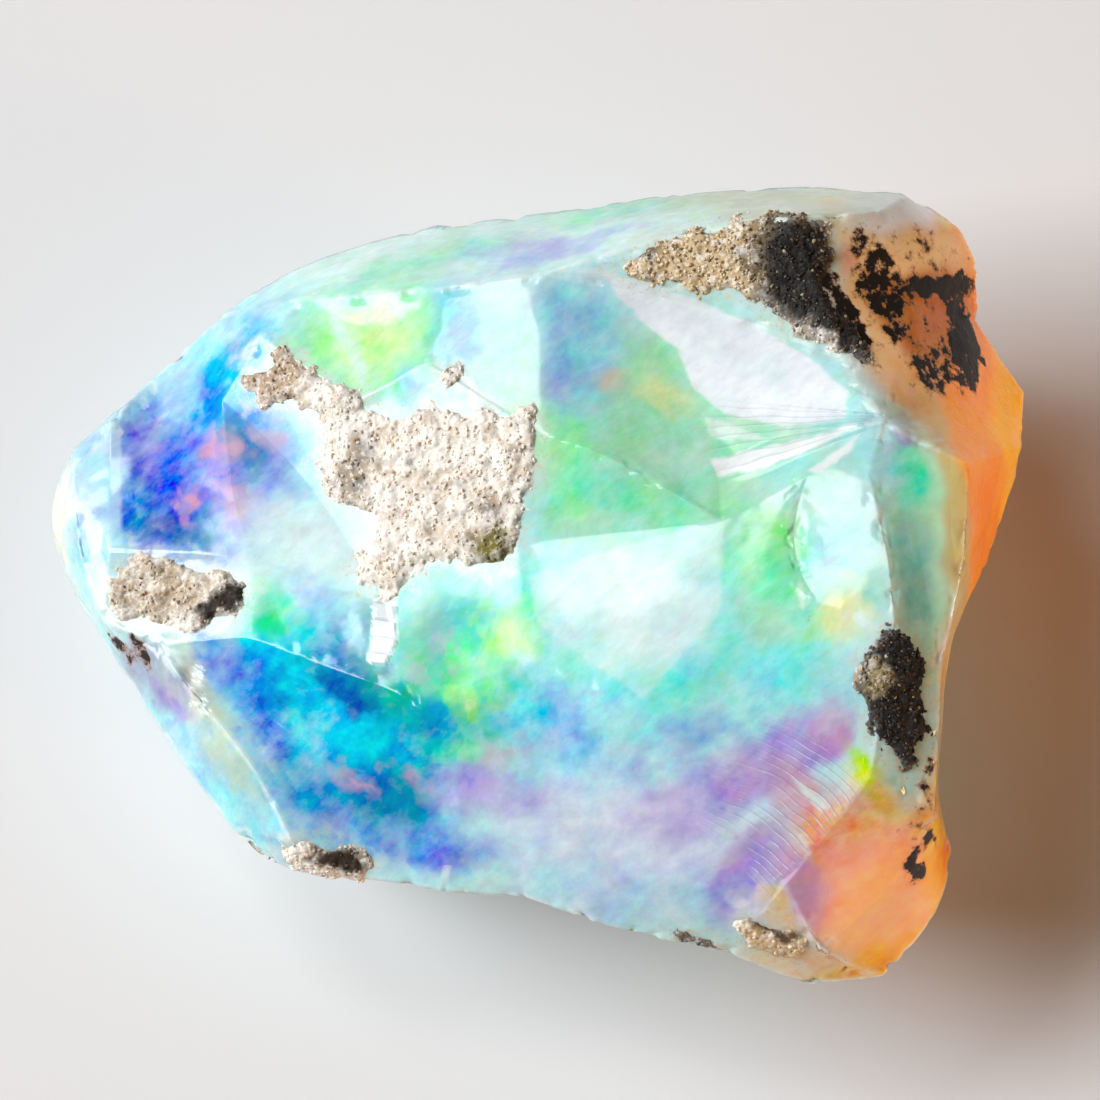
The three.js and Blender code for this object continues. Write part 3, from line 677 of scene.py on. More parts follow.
def make_piece(name, points, tris, material, values, colour):
    """A smooth mesh object from points in millimetres, with a value and a colour at each point."""
    mesh = bpy.data.meshes.new(name)
    mesh.from_pydata((points * MM).tolist(), [], tris.tolist())
    mesh.polygons.foreach_set("use_smooth", [True] * len(mesh.polygons))
    for key, value in values.items():
        layer = mesh.attributes.new(key, "FLOAT", "POINT")
        layer.data.foreach_set("value", value.astype(np.float32))
    layer = mesh.attributes.new("paint", "FLOAT_COLOR", "POINT")
    filled = np.concatenate([colour, np.ones((len(colour), 1))], 1)
    layer.data.foreach_set("color", filled.astype(np.float32).reshape(-1))
    mesh.materials.append(material)
    mesh.update()
    piece = bpy.data.objects.new(name, mesh)
    bpy.context.scene.collection.objects.link(piece)
    return piece


# ---------------------------------------------------------------- materials


def add(tree, kind, settings=None, **links):
    """Adds a node. Links feed its inputs, by name or as i0, i1 and so on, with a value or a node."""
    node = tree.nodes.new(kind)
    for key, value in (settings or {}).items():
        setattr(node, key, value)
    for key, value in links.items():
        socket = node.inputs[int(key[1:]) if key[1:].isdigit() else key.replace("_", " ")]
        if isinstance(value, bpy.types.Node):
            value = value.outputs[0]
        if isinstance(value, bpy.types.NodeSocket):
            tree.links.new(value, socket)
        else:
            socket.default_value = value
    return node


def new_material(name):
    """An empty material and its node tree."""
    material = bpy.data.materials.new(name)
    material.use_nodes = True
    material.node_tree.nodes.clear()
    return material, material.node_tree


STEP = {"interpolation_type": "SMOOTHSTEP"}
TIMES = {"operation": "MULTIPLY"}
TIMES_PLUS = {"operation": "MULTIPLY_ADD"}
LARGER = {"operation": "MAXIMUM"}
CLEARED_BY = {"operation": "SUBTRACT", "use_clamp": True}
RGB = {"data_type": "RGBA"}


def plane_coordinates(tree):
    """Object coordinates in millimetres, turned so that x and y are u and w."""
    return add(
        tree,
        "ShaderNodeMapping",
        {"vector_type": "POINT"},
        Vector=add(tree, "ShaderNodeTexCoord").outputs["Object"],
        Location=(0, -PLANE_HEIGHT * math.sin(TILT), -PLANE_HEIGHT * math.cos(TILT)),
        Rotation=(-TILT, 0, 0),
        Scale=(1 / MM, 1 / MM, 1 / MM),
    )


def opal_material(colours, hackle_height):
    """Precious opal, broken and unpolished: glassy faces over milky silica with fire in it, and a painted
    glow at the honey-coloured end.
    """
    material, tree = new_material("precious_opal")
    place = plane_coordinates(tree)
    names = ("paint", "warm", "edge", "stain", "veil", "dust", "torn", "tear")
    given = {n: add(tree, "ShaderNodeAttribute", {"attribute_name": n}) for n in names}
    # Short streaks 0.3 mm wide that slant up to the east, and clouds 1.3 mm wide, lean to other hues.
    slant = add(
        tree,
        "ShaderNodeMapping",
        {"vector_type": "TEXTURE"},
        Vector=place,
        Rotation=(0, 0, math.radians(38)),
        Scale=(1.7, 1, 1),
    )
    streak = add(tree, "ShaderNodeTexNoise", Vector=slant, Scale=2.9, Detail=4, Roughness=0.7)
    cloud = add(tree, "ShaderNodeTexNoise", Vector=place, Scale=0.77, Detail=2, Roughness=0.5)
    base = (-0.163, -1.0, -0.42)
    swing = (0.175, 1.4, 0.35)
    lean = add(tree, "ShaderNodeVectorMath", TIMES_PLUS, i0=cloud.outputs[1], i1=swing, i2=base)
    lean = add(tree, "ShaderNodeVectorMath", TIMES_PLUS, i0=streak.outputs[1], i1=(0.15, 0.8, 0.45), i2=lean)
    calm = add(tree, "ShaderNodeMapRange", Value=given["warm"], To_Min=1.0, To_Max=0.12)
    lean = add(tree, "ShaderNodeVectorMath", {"operation": "SCALE"}, Vector=lean, Scale=calm)
    lean = add(tree, "ShaderNodeVectorMath", {"operation": "ADD"}, i0=lean, i1=(0.5, 1, 1))
    lean = add(tree, "ShaderNodeSeparateXYZ", Vector=lean).outputs
    colour = add(
        tree,
        "ShaderNodeHueSaturation",
        Hue=lean[0],
        Saturation=lean[1],
        Value=lean[2],
        Color=given["paint"],
    )
    # A thin white line along each sharp ridge, where the edge is crushed.
    speck = add(tree, "ShaderNodeTexNoise", Vector=place, Scale=2, Detail=3, Roughness=0.6)
    ridge = add(tree, "ShaderNodeMapRange", STEP, Value=given["edge"], From_Min=0.7, From_Max=0.98)
    uneven = add(
        tree, "ShaderNodeMapRange", Value=speck, From_Min=0.35, From_Max=0.65, To_Min=0.1, To_Max=0.6
    )
    frost = add(tree, "ShaderNodeMath", TIMES, i0=ridge, i1=uneven)
    frost = add(tree, "ShaderNodeMath", TIMES, i0=frost, i1=calm)
    # Torn lines: each runs out in a thin frayed lip that looks white.
    tear = add(tree, "ShaderNodeMath", {"operation": "FRACT"}, i0=given["tear"])
    lip = add(tree, "ShaderNodeMapRange", STEP, Value=tear, From_Min=0.78, From_Max=0.95)
    sugar = add(tree, "ShaderNodeTexNoise", Vector=place, Scale=2.6, Detail=5, Roughness=0.7)
    fray = add(tree, "ShaderNodeMapRange", STEP, Value=sugar, From_Min=0.36, From_Max=0.6)
    lip = add(tree, "ShaderNodeMath", TIMES, i0=lip, i1=fray)
    lip = add(tree, "ShaderNodeMath", TIMES, i0=lip, i1=given["torn"])
    lip = add(tree, "ShaderNodeMath", TIMES, i0=lip, i1=0.7)
    frost = add(tree, "ShaderNodeMath", LARGER, i0=frost, i1=lip)
    # Sand that clings round the crusts, in grains 0.1 mm wide.
    grain = add(tree, "ShaderNodeTexNoise", Vector=place, Scale=8, Detail=2, Roughness=0.6)
    grain = add(tree, "ShaderNodeMath", TIMES_PLUS, i0=given["dust"], i1=0.3, i2=grain)
    cling = add(tree, "ShaderNodeMapRange", STEP, Value=grain, From_Min=0.86, From_Max=0.92, To_Max=0.6)
    # Manganese: a brown halo with black grains 0.1 to 0.3 mm wide.
    grit = add(tree, "ShaderNodeTexNoise", Vector=place, Scale=2.4, Detail=5, Roughness=0.68)
    soak = add(tree, "ShaderNodeMath", TIMES_PLUS, i0=grit, i1=1.9, i2=given["stain"])
    halo = add(tree, "ShaderNodeMapRange", STEP, Value=soak, From_Min=1.31, From_Max=1.57, To_Max=0.75)
    black = add(tree, "ShaderNodeMapRange", STEP, Value=soak, From_Min=1.51, From_Max=1.63)
    # Powder that whitens the break round the crusts in ragged patches 1 mm wide.
    powder = add(tree, "ShaderNodeTexNoise", Vector=place, Scale=1.4, Detail=5, Roughness=0.65)
    powder = add(tree, "ShaderNodeMath", TIMES_PLUS, i0=given["dust"], i1=0.3, i2=powder)
    powder = add(tree, "ShaderNodeMapRange", STEP, Value=powder, From_Min=0.66, From_Max=0.9, To_Max=0.55)
    # Painted shade: violet-grey at the foot of each torn line.
    painted_groove_shade = add(tree, "ShaderNodeMapRange", STEP, Value=tear, From_Min=0.3, From_Max=0.0, To_Max=0.4)
    painted_groove_shade = add(tree, "ShaderNodeMath", TIMES, i0=painted_groove_shade, i1=given["torn"])
    layers = (
        (painted_groove_shade, linear("#8C7CB4")),
        (frost, linear("#EAF4F2")),
        (powder, linear("#D3E2DA")),
        (cling, linear("#D9C8A6")),
        (halo, linear("#9C6434")),
        (black, colours.manganese),
    )
    for amount, shade in layers:
        colour = add(tree, "ShaderNodeMix", RGB, i0=amount, i6=colour, i7=(*shade, 1)).outputs[2]
    # Fine ripples 0.6 mm wide on the glassy faces, and steps at the torn lines.
    fine = add(tree, "ShaderNodeTexNoise", Vector=place, Scale=1.7, Detail=4, Roughness=0.6)
    bump = add(tree, "ShaderNodeBump", Strength=0.2, Distance=0.02 * MM, Height=fine)
    step = add(tree, "ShaderNodeMath", TIMES, i0=tear, i1=given["torn"])
    bump = add(tree, "ShaderNodeBump", Strength=0.7, Distance=hackle_height, Height=step, Normal=bump)
    # The flank is sugary: a crust of tiny rounded lumps 0.3 mm wide.
    flank = add(tree, "ShaderNodeMapRange", Value=given["warm"], From_Min=0.85)
    lumps = add(tree, "ShaderNodeMath", TIMES, i0=sugar, i1=flank)
    bump = add(tree, "ShaderNodeBump", Strength=0.5, Distance=0.15 * MM, Height=lumps, Normal=bump)
    # Grit where the stain lies.
    rise = add(tree, "ShaderNodeMath", TIMES, i0=grit, i1=black)
    bump = add(tree, "ShaderNodeBump", Strength=0.6, Distance=0.08 * MM, Height=rise, Normal=bump)
    # Gloss: glassy, but dull where it is crushed, veiled or stained.
    dull = add(tree, "ShaderNodeMapRange", Value=frost, To_Min=0.1, To_Max=0.45)
    milky = add(tree, "ShaderNodeMapRange", Value=given["veil"], From_Max=2.0, To_Min=0.1, To_Max=0.5)
    dull = add(tree, "ShaderNodeMath", LARGER, i0=dull, i1=milky)
    sooty = add(tree, "ShaderNodeMath", TIMES, i0=black, i1=0.5)
    # Milky silica: light goes up to a millimetre deep, and deepest in the honey-coloured end.
    depth = add(tree, "ShaderNodeMapRange", Value=given["warm"], To_Min=0.45, To_Max=0.6)
    reach = add(tree, "ShaderNodeMix", RGB, i0=given["warm"], i6=(0.5, 0.45, 0.4, 1), i7=(1.1, 0.8, 0.5, 1))
    shader = add(
        tree,
        "ShaderNodeBsdfPrincipled",
        Base_Color=colour,
        Roughness=add(tree, "ShaderNodeMath", LARGER, i0=dull, i1=sooty),
        IOR=1.45,
        Subsurface_Weight=add(tree, "ShaderNodeMath", CLEARED_BY, i0=depth, i1=black),
        Subsurface_Radius=reach.outputs[2],
        Subsurface_Scale=1.0 * MM,
        Normal=bump,
    )
    # Painted glow: a faint emission at the honey-coloured end stands in for light that has crossed the
    # stone.
    glow = add(tree, "ShaderNodeMapRange", Value=given["warm"], To_Max=0.26)
    clear = add(tree, "ShaderNodeMapRange", Value=black, To_Min=1, To_Max=0)
    glow = add(tree, "ShaderNodeMath", TIMES, i0=glow, i1=clear)
    tree.links.new(colour, shader.inputs["Emission Color"])
    tree.links.new(glow.outputs[0], shader.inputs["Emission Strength"])
    add(tree, "ShaderNodeOutputMaterial", Surface=shader)
    return material


def matrix_material():
    """Sandy opal matrix: fine quartz sand bound by clay, dull and porous, stained by manganese."""
    material, tree = new_material("sandstone_matrix")
    place = plane_coordinates(tree)
    ground = add(tree, "ShaderNodeAttribute", {"attribute_name": "paint"})
    # The variegation fades where the manganese is solid.
    light = add(tree, "ShaderNodeSeparateColor", Color=ground).outputs[1]
    light = add(tree, "ShaderNodeMapRange", Value=light, From_Min=0.02, From_Max=0.3, To_Min=0.04)
    blotch = add(tree, "ShaderNodeTexNoise", Vector=place, Scale=1.2, Detail=4, Roughness=0.65)
    fine = add(tree, "ShaderNodeTexNoise", Vector=place, Scale=4.6, Detail=4, Roughness=0.7)
    fine = add(tree, "ShaderNodeSeparateColor", Color=fine.outputs[1]).outputs
    stone = add(tree, "ShaderNodeTexNoise", Vector=place, Scale=1.9, Detail=3, Roughness=0.6).outputs[1]
    stone = add(tree, "ShaderNodeSeparateColor", Color=stone).outputs[2]
    pores = add(tree, "ShaderNodeTexNoise", Vector=place, Scale=3.3, Detail=5, Roughness=0.75)
    colour = ground.outputs[0]
    # Clay in tan patches, pale grains 0.15 mm wide, specks of rust, and dark pores: painted shade in the
    # pits.
    layers = (
        (blotch, 0.5, 0.6, 0.42, "#B8996A"),
        (blotch, 0.46, 0.36, 0.6, "#F8F5EE"),
        (stone, 0.57, 0.64, 0.4, "#8A8078"),
        (fine[0], 0.52, 0.6, 0.7, "#FAF5EC"),
        (fine[1], 0.59, 0.66, 0.45, "#8F6C42"),
        (pores, 0.39, 0.33, 0.8, "#453423"),
    )
    for value, low, high, most, shade in layers:
        amount = add(tree, "ShaderNodeMapRange", STEP, Value=value, From_Min=low, From_Max=high, To_Max=most)
        amount = add(tree, "ShaderNodeMath", TIMES, i0=amount, i1=light)
        colour = add(tree, "ShaderNodeMix", RGB, i0=amount, i6=colour, i7=(*linear(shade), 1)).outputs[2]
    shader = add(
        tree,
        "ShaderNodeBsdfPrincipled",
        Base_Color=colour,
        Roughness=0.8,
        IOR=1.5,
        Normal=add(tree, "ShaderNodeBump", Strength=0.8, Distance=0.09 * MM, Height=pores),
    )
    add(tree, "ShaderNodeOutputMaterial", Surface=shader)
    return material


def grain_material():
    """Quartz sand: broken grains with flat glints, from cream through ochre to black, and a few painted
    glints.
    """
    material, tree = new_material("quartz_sand")
    tint = add(tree, "ShaderNodeAttribute", {"attribute_name": "tint"}).outputs["Fac"]
    ground = add(tree, "ShaderNodeAttribute", {"attribute_name": "paint"})
    # Grains follow the tint of their crust, so that those on solid manganese stay dark.
    luma = add(tree, "ShaderNodeSeparateColor", Color=ground).outputs[1]
    light = add(tree, "ShaderNodeMapRange", Value=luma, From_Min=0.02, From_Max=0.3, To_Min=0.02)
    colour = ground.outputs[0]
    clean = add(tree, "ShaderNodeMapRange", Value=luma, From_Min=0.5, From_Max=0.7, To_Min=1, To_Max=0.12)
    layers = (
        (light, 0.3, 1.0, 0.85, "#F8ECD2"),
        (clean, 0.3, 0.27, 0.7, "#4C3A28"),
        (light, 0.12, 0.1, 0.55, "#B88A48"),
    )
    for share, low, high, most, shade in layers:
        amount = add(tree, "ShaderNodeMapRange", Value=tint, From_Min=low, From_Max=high, To_Max=most)
        amount = add(tree, "ShaderNodeMath", TIMES, i0=amount, i1=share)
        colour = add(tree, "ShaderNodeMix", RGB, i0=amount, i6=colour, i7=(*linear(shade), 1)).outputs[2]
    # Painted glints: a few grains are painted pale, as if they caught the light, even where the ground is
    # black.
    painted_spark = add(tree, "ShaderNodeMapRange", Value=tint, From_Min=0.95, From_Max=0.97, To_Max=0.6)
    colour = add(tree, "ShaderNodeMix", RGB, i0=painted_spark, i6=colour, i7=(*linear("#D8C698"), 1)).outputs[2]
    shader = add(tree, "ShaderNodeBsdfPrincipled", Base_Color=colour, Roughness=0.45, IOR=1.54)
    add(tree, "ShaderNodeOutputMaterial", Surface=shader)
    return material


def grain_tree():
    """Geometry nodes that strew grains of sand over a crust and leave them as plain mesh."""
    tree = bpy.data.node_groups.new("Sand Grains", "GeometryNodeTree")
    side = tree.interface
    side.new_socket("Geometry", in_out="INPUT", socket_type="NodeSocketGeometry")
    side.new_socket("Grain Width", in_out="INPUT", socket_type="NodeSocketFloat")
    side.new_socket("Grains Per Square Metre", in_out="INPUT", socket_type="NodeSocketFloat")
    side.new_socket("Seed", in_out="INPUT", socket_type="NodeSocketInt")
    side.new_socket("Material", in_out="INPUT", socket_type="NodeSocketMaterial")
    side.new_socket("Geometry", in_out="OUTPUT", socket_type="NodeSocketGeometry")
    given = tree.nodes.new("NodeGroupInput").outputs
    pile = add(tree, "GeometryNodeInputNamedAttribute", {"data_type": "FLOAT"}, Name="sand")
    points = add(
        tree,
        "GeometryNodeDistributePointsOnFaces",
        {"distribute_method": "RANDOM"},
        Mesh=given["Geometry"],
        Density=add(tree, "ShaderNodeMath", TIMES, i0=pile, i1=given["Grains Per Square Metre"]),
        Seed=given["Seed"],
    )
    radius = add(tree, "ShaderNodeMath", TIMES, i0=given["Grain Width"], i1=0.5)
    vector = {"data_type": "FLOAT_VECTOR"}
    turn = add(tree, "FunctionNodeRandomValue", vector, i0=(0, 0, 0), i1=(6.28, 6.28, 6.28), Seed=3)
    scale = add(tree, "FunctionNodeRandomValue", vector, i0=(0.4, 0.4, 0.4), i1=(1.2, 1.2, 1), Seed=4)
    placed = add(
        tree,
        "GeometryNodeInstanceOnPoints",
        Points=points,
        Instance=add(tree, "GeometryNodeMeshIcoSphere", Radius=radius, Subdivisions=1),
        Rotation=turn,
        Scale=scale,
    )
    tinted = add(
        tree,
        "GeometryNodeStoreNamedAttribute",
        {"data_type": "FLOAT", "domain": "INSTANCE"},
        Geometry=placed,
        Name="tint",
        Value=add(tree, "FunctionNodeRandomValue", {"data_type": "FLOAT"}, Seed=5).outputs[1],
    )
    real = add(tree, "GeometryNodeRealizeInstances", Geometry=tinted)
    done = add(tree, "GeometryNodeSetMaterial", Geometry=real, Material=given["Material"])
    tree.links.new(done.outputs[0], tree.nodes.new("NodeGroupOutput").inputs[0])
    return tree


# ---------------------------------------------------------------- pieces

made = {}


class OPAL_OT_body(bpy.types.Operator):
    """Opal body: fracture faces with waves and chipped ridges; its torn lines are bump, not mesh"""

    bl_idname = "opal.body"
    bl_label = "Opal Body"

    def execute(self, context):
        sizes = context.scene.opal_sizes
        points, tris = merged(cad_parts["opal_stone"])
        ridges, sharpness = find_ridges(points, tris)
        coarse = points
        # Each round of subdivision keeps more to the faces that are turned to the viewer.
        for least in (-2.0, -0.3, 0.7):
            shown = face_normals(points, tris) @ TOWARDS > least
            points, tris, ridges = refine(points, tris, ridges, shown)
        normals = point_normals(points, tris)
        near_ridge = ridge_closeness(points, tris, ridges, coarse, sharpness)
        near_ridge *= 1 - 0.85 * zone_amount(on_plane(points), (8.4, -7.6), (2.9, 1.4), 50)
        torn, tear = torn_lines(points, normals)
        lift = body_relief(points, normals, near_ridge, sizes)
        # The break it rests on stays flat.
        free = smooth(points[:, 2], 0.0, REST_BAND)
        points = points + normals * (lift * free)[:, None]
        warm = smooth(points[:, 0] + 0.15 * np.minimum(points[:, 1], 0), 10.8, 12.8)
        warm = np.maximum(warm, 0.8 * zone_amount(on_plane(points), (10.4, -9.6), (2.3, 2.3), 0))
        warm = np.maximum(warm, 0.85 * zone_amount(on_plane(points), (11.6, 8.0), (2.4, 2.6), 0))
        colours = context.scene.opal_colours
        fire = fire_colours(points, normals, warm, colours)
        values = {
            "edge": near_ridge,
            "warm": warm,
            "stain": zone_field(points, normals, STAINS),
            "veil": zone_field(points, normals, VEILS),
            "dust": dust_amount(points, normals),
            "torn": torn,
            "tear": tear,
        }
        material = opal_material(colours, sizes.hackle_height)
        piece = make_piece("opal_body", points, tris, material, values, fire)
        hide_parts("opal_stone")
        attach(piece, "root")
        made["body"] = (points, tris)
        return {"FINISHED"}


def ridge_closeness(points, tris, ridges, coarse, sharpness):
    """1 on a sharp ridge, falling to 0 at RIDGE_WIDTH from it, and less on a mild one."""
    edges, _, _ = edge_table(tris)
    on = edges[np.isin(edge_keys(edges), ridges)]
    blunt = kdtree.KDTree(len(coarse))
    for i, place in enumerate(coarse.tolist()):
        blunt.insert(place, i)
    blunt.balance()
    index = np.unique(on)
    tree = kdtree.KDTree(len(index))
    strength = {}
    for i in index.tolist():
        tree.insert(points[i], i)
        found = blunt.find_n(points[i], 3)
        strength[i] = max(sharpness[f[1]] for f in found)
    tree.balance()
    near = [tree.find(p)[1:] for p in points.tolist()]
    far = np.array([n[1] for n in near])
    return (1 - smooth(far, 0.0, RIDGE_WIDTH)) * np.array([strength[n[0]] for n in near])


def zone_amount(plan, centre, reach, turn):
    """1 inside an oval zone, falling softly to 0 a little way outside it."""
    angle = math.radians(turn)
    away = plan - np.array(centre)
    u = (away[:, 0] * math.cos(angle) + away[:, 1] * math.sin(angle)) / reach[0]
    w = (away[:, 1] * math.cos(angle) - away[:, 0] * math.sin(angle)) / reach[1]
    return smooth(np.hypot(u, w), 1.35, 0.5)


def paint(plan, ground, zones):
    """Lays soft-edged zones of colour over a ground colour."""
    result = ground.copy()
    for _, centre, reach, turn, shade, strength in zones:
        amount = strength * zone_amount(plan, centre, reach, turn)
        result += amount[:, None] * (np.array(linear(PALETTE.get(shade, shade))) - result)
    return result


def fire_colours(points, normals, warm, colours):
    """The opal's colour at each point: the flashes over its milky or honey body, with painted glare and
    glints.
    """
    milk, honey = np.array(colours.milk), np.array(colours.honey)
    body = milk + warm[:, None] * (honey - milk)
    # Slow noise bends the zones. Over that soft picture lie finer ones: clouds 1 mm wide and
    # dabs half as wide, each of which shows the colour of a spot a little way off.
    plan = on_plane(points)
    slow = plan + 0.5 * pair(points, 2.6, 2, 11.0)
    cloud = slow + 0.75 * pair(points, 0.9, 3, 19.0)
    seeds = [noise.voronoi(Vector(p) / DAB_WIDTH)[1][0] for p in points.tolist()]
    dabs = slow + 1.3 * np.array([noise.cell_vector(seed * 37.0)[:2] for seed in seeds]) - 0.65
    calm = warm[:, None]
    lively = np.maximum(
        zone_amount(plan, (-11.0, 3.0), (2.0, 2.0), 0), 0.9 * zone_amount(plan, (-3.8, -3.4), (4.4, 3.2), 0)
    )[:, None]
    shown = paint(slow, body, FLASHES) * (0.5 + 0.45 * calm - 0.3 * lively)
    shown += paint(cloud, body, FLASHES) * (0.3 - 0.25 * calm)
    shown += paint(dabs, body, FLASHES) * (0.2 - 0.2 * calm + 0.3 * lively)
    # Round the sides and below, flashes come and go by themselves.
    hidden = body.copy()
    for k, shade in enumerate(SIDE_FLASHES):
        amount = 0.5 * (1 - 0.85 * warm) * smooth(waves(points, 1.9, 4, 23.0 + 5 * k), 0.1, 0.6)
        hidden += amount[:, None] * (np.array(linear(PALETTE[shade])) - hidden)
    side = smooth(normals @ TOWARDS, 0.02, -0.25)
    shown += side[:, None] * (hidden - shown)
    # Painted glare and glints, and milky flakes, laid with crisp edges over the faces turned to the viewer.
    rough = plan + 0.07 * pair(points, 0.5, 3, 29.0)
    for _, outline, shade, strength in PAINTED_GLARE_AND_FLAKES:
        inside = strength * smooth(outline_distance(rough, outline), -0.05, 0.07) * (side < 0.5)
        shown += inside[:, None] * (np.array(linear(PALETTE[shade])) - shown)
    return shown


def zone_field(points, normals, zones):
    """How strongly a set of zones, such as stains, holds at each point, from 0 to 1."""
    plan = on_plane(points) + 0.3 * pair(points, 0.8, 3, 41.0)
    total = np.zeros(len(points))
    for _, centre, reach, turn, strength in zones:
        total = np.maximum(total, strength * zone_amount(plan, centre, reach, turn))
    return total * smooth(normals @ TOWARDS, -0.2, 0.0)


def dust_amount(points, normals):
    """How much loose sand clings to the opal close to each crust, from 0 to 1."""
    plan = on_plane(points) + 0.25 * pair(points, 0.7, 3, 51.0)
    total = np.zeros(len(points))
    for _, outline, _, _ in CRUSTS:
        total = np.maximum(total, smooth(outline_distance(plan, outline), -0.75, 0.1))
    return total * (normals @ TOWARDS > 0)


def torn_lines(points, normals):
    """Where the break is torn, from 0 to 1, and the running count of its lines."""
    plan = on_plane(points)
    facing = normals @ TOWARDS > 0
    # Hackles run down to the south-east ridge and bend on the way.
    along = (plan[:, 0] - 8.4) * 0.64 + (plan[:, 1] + 7.5) * 0.77
    across = (plan[:, 0] - 8.4) * 0.77 - (plan[:, 1] + 7.5) * 0.64
    hackles = smooth(across, -4.0, -1.2) * smooth(across, 0.3, 0.0)
    hackles *= smooth(along, -2.6, -2.1) * smooth(along, 2.4, 1.5) * facing
    hackles *= smooth(waves(points, 1.3, 2, 3.0), -0.6, 0.1)
    lines = (along + 0.09 * (across + 0.8) ** 2 + 0.16 * waves(points, 1.6, 2, 4.0)) / HACKLE_SPACING
    # Ribs: folds that run together towards the highest corner in the east.
    away = plan - np.array([10.9, 4.8])
    reach = np.linalg.norm(away, axis=1)
    angle = np.degrees(np.arctan2(away[:, 1], -away[:, 0]))
    ribs = smooth(reach, 0.2, 1.2) * smooth(reach, 6.4, 4.4)
    ribs *= smooth(angle, -24, -19) * smooth(angle, 6, 2) * facing
    spokes = angle / 3.4 + 0.35 * waves(points, 1.5, 2, 2.0)
    # Pleats: a stack of flat steps in the small window under the middle crust.
    pleats = smooth(outline_distance(plan, PLEATS), 0.0, 0.1)
    steps = (plan[:, 1] + 0.15 * plan[:, 0]) / 0.5
    lines = np.where(plan[:, 0] < 0, steps, lines)
    torn = np.maximum(np.maximum(hackles, 0.6 * ribs), pleats)
    return torn, np.where(ribs > 0, spokes, lines)


def body_relief(points, normals, near_ridge, sizes):
    """Height in millimetres of the fracture detail over the plain faces."""
    plan = on_plane(points)
    facing = normals @ TOWARDS
    wave = waves(points, 3.2, 2) * sizes.wave_height / MM
    ripple = waves(points, 0.9, 2, 5.0) * 0.008
    chips = np.maximum(waves(points, 0.7, 3, 9.0) - 0.02, 0) * near_ridge
    lift = wave + ripple - chips * near_ridge * 2 * sizes.chip_depth / MM
    # Rind: sugary lumps on the honey-coloured flank and all round below the rim.
    rind = smooth(points[:, 2], 6.0, 3.5) * smooth(facing, 0.25, 0.0)
    lift += rind * waves(points, 1.3, 4, 7.0) * sizes.rind_height / MM
    flank = smooth(plan[:, 0], 12.0, 13.2) * (1 - rind)
    lift += flank * waves(points, 1.9, 2, 8.0) * sizes.rind_height / MM * 0.5
    return lift


class OPAL_OT_crusts(bpy.types.Operator):
    """Crusts: films of sandy matrix and black stain that lie on the opal"""

    bl_idname = "opal.crusts"
    bl_label = "Matrix Crusts"

    def execute(self, context):
        sizes = context.scene.opal_sizes
        material = matrix_material()
        sand = np.array(context.scene.opal_colours.sand)
        body_points, body_tris = made["body"]
        corners = on_plane(body_points[body_tris].mean(1))
        facing = face_normals(body_points, body_tris) @ TOWARDS
        for name, outline, share, grit in CRUSTS:
            near = (outline_distance(corners, outline) > -0.8) & (facing > 0.02)
            used, index = np.unique(body_tris[near], return_inverse=True)
            points, tris = body_points[used], index.reshape(-1, 3)
            points, tris, _ = refine(points, tris, np.empty(0, np.int64))
            normals = point_normals(points, tris)
            plan = on_plane(points)
            inside = outline_distance(plan, outline)
            inside = inside + waves(points, 0.9, 6, 1.0) * 0.42 * smooth(inside, 0.7, 0.2)
            pile = smooth(inside, -0.05, 0.5)
            bumps = np.sqrt(np.clip(1 - (cells(points, 0.22, 4.0)[:, 0] / 0.6) ** 2, 0, 1))
            lumps = waves(points, 0.6, 5, 6.0)
            thick = sizes.crust_thickness / MM * share
            lift = pile * (0.05 + thick * (0.6 + 0.8 * lumps) + bumps * 0.04) - 0.1 * (1 - pile)
            points = points + normals * lift[:, None]
            smeared = plan + 0.25 * pair(points, 0.6, 3, 31.0)
            tinted = paint(smeared, np.tile(sand, (len(points), 1)), CRUST_TINTS)
            values = {"sand": grit * smooth(inside, -0.1, 0.3) * (lift > -0.02)}
            piece = make_piece(name, points, tris, material, values, tinted)
            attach(piece, "root")
            made.setdefault("crusts", []).append((points, tris, values["sand"], tinted))
        return {"FINISHED"}


class OPAL_OT_grains(bpy.types.Operator):
    """Grains: rounded quartz sand that stands out of the crusts"""

    bl_idname = "opal.grains"
    bl_label = "Sand Grains"

    def execute(self, context):
        tree = grain_tree()
        material = grain_material()
        # The grains are strewn over a bed that joins all the crusts.
        points, tris, sand, tinted = zip(*made["crusts"])
        starts = np.cumsum([0] + [len(p) for p in points[:-1]])
        tris = np.concatenate([t + start for t, start in zip(tris, starts)])
        values = {"sand": np.concatenate(sand)}
        paints = np.concatenate(tinted)
        bed = make_piece("grain_bed", np.concatenate(points), tris, material, values, paints)
        inputs = {
            "Grain Width": context.scene.opal_sizes.grain_width,
            "Grains Per Square Metre": GRAIN_DENSITY,
            "Seed": GRAIN_SEED,
            "Material": material,
        }
        modifier = bed.modifiers.new("grains", "NODES")
        modifier.node_group = tree
        for item in tree.interface.items_tree:
            if item.in_out == "INPUT" and item.name in inputs:
                modifier[item.identifier] = inputs[item.name]
        context.view_layer.update()
        ready = bed.evaluated_get(context.evaluated_depsgraph_get())
        mesh = bpy.data.meshes.new_from_object(ready)
        mesh.name = "sand_grains"
        bpy.data.objects.remove(bed)
        piece = bpy.data.objects.new("sand_grains", mesh)
        context.scene.collection.objects.link(piece)
        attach(piece, "root")
        return {"FINISHED"}


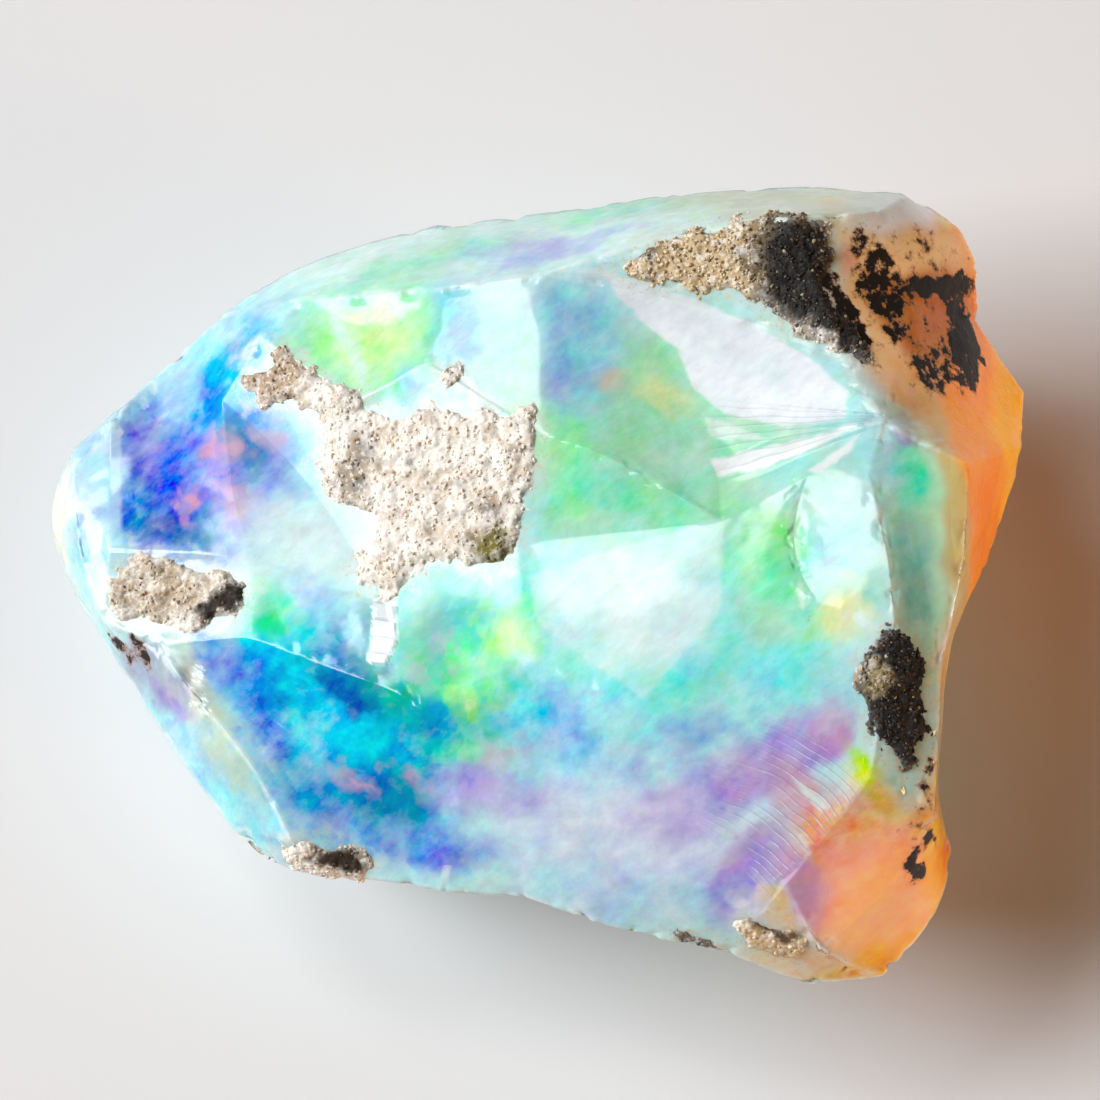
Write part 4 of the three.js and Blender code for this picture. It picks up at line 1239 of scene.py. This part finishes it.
class OPAL_OT_stage(bpy.types.Operator):
    """Stage: a plain pale floor, a soft key light, a fill and the camera"""

    bl_idname = "opal.stage"
    bl_label = "Stage"

    def execute(self, context):
        scene = context.scene
        material, tree = new_material("pale_floor")
        shader = add(tree, "ShaderNodeBsdfDiffuse", Color=(*linear("#EDEDED"), 1))
        add(tree, "ShaderNodeOutputMaterial", Surface=shader)
        mesh = bpy.data.meshes.new("floor")
        mesh.from_pydata([(-2, -2, 0), (2, -2, 0), (2, 2, 0), (-2, 2, 0)], [], [(0, 1, 2, 3)])
        mesh.materials.append(material)
        floor = bpy.data.objects.new("floor", mesh)
        scene.collection.objects.link(floor)
        aim = Vector((0.43 * MM, 0.85 * MM, PLANE_HEIGHT * MM))
        self.lamp("key", (-0.37, 0.35, 0.86), 0.6, 0.15, 0.55, "#FFFFFF", aim)
        self.lamp("side", (-0.78, 0.06, 0.62), 0.7, 0.4, 5.9, "#FAFCFF", aim)
        self.lamp("fill", (0.9, -0.4, 0.06), 0.6, 0.12, 1.9, "#FFC48C", aim)
        world = bpy.data.worlds.new("studio")
        world.use_nodes = True
        world.node_tree.nodes["Background"].inputs[0].default_value = (*linear("#FFCB9E"), 1)
        world.node_tree.nodes["Background"].inputs[1].default_value = 0.08
        scene.world = world
        lens = bpy.data.cameras.new("camera")
        lens.lens = 200
        lens.sensor_width = 36
        lens.clip_start = 0.01
        camera = bpy.data.objects.new("camera", lens)
        # Stands 15 degrees off straight overhead, on the near side.
        camera.location = aim + Vector(TOWARDS) * CAMERA_DISTANCE * MM
        camera.rotation_euler = (TILT, 0, 0)
        scene.collection.objects.link(camera)
        scene.camera = camera
        scene.view_settings.view_transform = "Standard"
        return {"FINISHED"}

    def lamp(self, name, way, distance, size, power, shade, aim):
        """A square soft light that stands at a distance in metres, turned towards the stone."""
        light = bpy.data.lights.new(name, "AREA")
        light.shape = "SQUARE"
        light.size = size
        light.energy = power
        light.color = linear(shade)
        lamp = bpy.data.objects.new(name, light)
        lamp.location = aim + Vector(way).normalized() * distance
        lamp.rotation_euler = Vector(way).to_track_quat("Z", "Y").to_euler()
        bpy.context.scene.collection.objects.link(lamp)


class OPAL_PT_panel(bpy.types.Panel):
    """Sidebar panel that lists the stone's sizes, colours and pieces"""

    bl_label = "Rough Opal"
    bl_idname = "OPAL_PT_panel"
    bl_space_type = "VIEW_3D"
    bl_region_type = "UI"
    bl_category = "Opal"

    def draw(self, context):
        for group in (context.scene.opal_sizes, context.scene.opal_colours):
            for key in group.__annotations__:
                self.layout.prop(group, key)
        for step in STEPS:
            self.layout.operator(step.bl_idname)


STEPS = (OPAL_OT_body, OPAL_OT_crusts, OPAL_OT_grains, OPAL_OT_stage)
CLASSES = (OpalSizes, OpalColours) + STEPS + (OPAL_PT_panel,)


def register():
    for item in CLASSES:
        bpy.utils.register_class(item)
    bpy.types.Scene.opal_sizes = bpy.props.PointerProperty(type=OpalSizes)
    bpy.types.Scene.opal_colours = bpy.props.PointerProperty(type=OpalColours)


def unregister():
    del bpy.types.Scene.opal_colours
    del bpy.types.Scene.opal_sizes
    for item in reversed(CLASSES):
        bpy.utils.unregister_class(item)


def main():
    register()
    bpy.ops.opal.body()
    bpy.ops.opal.crusts()
    bpy.ops.opal.grains()
    bpy.ops.opal.stage()


if __name__ == "__main__":
    main()
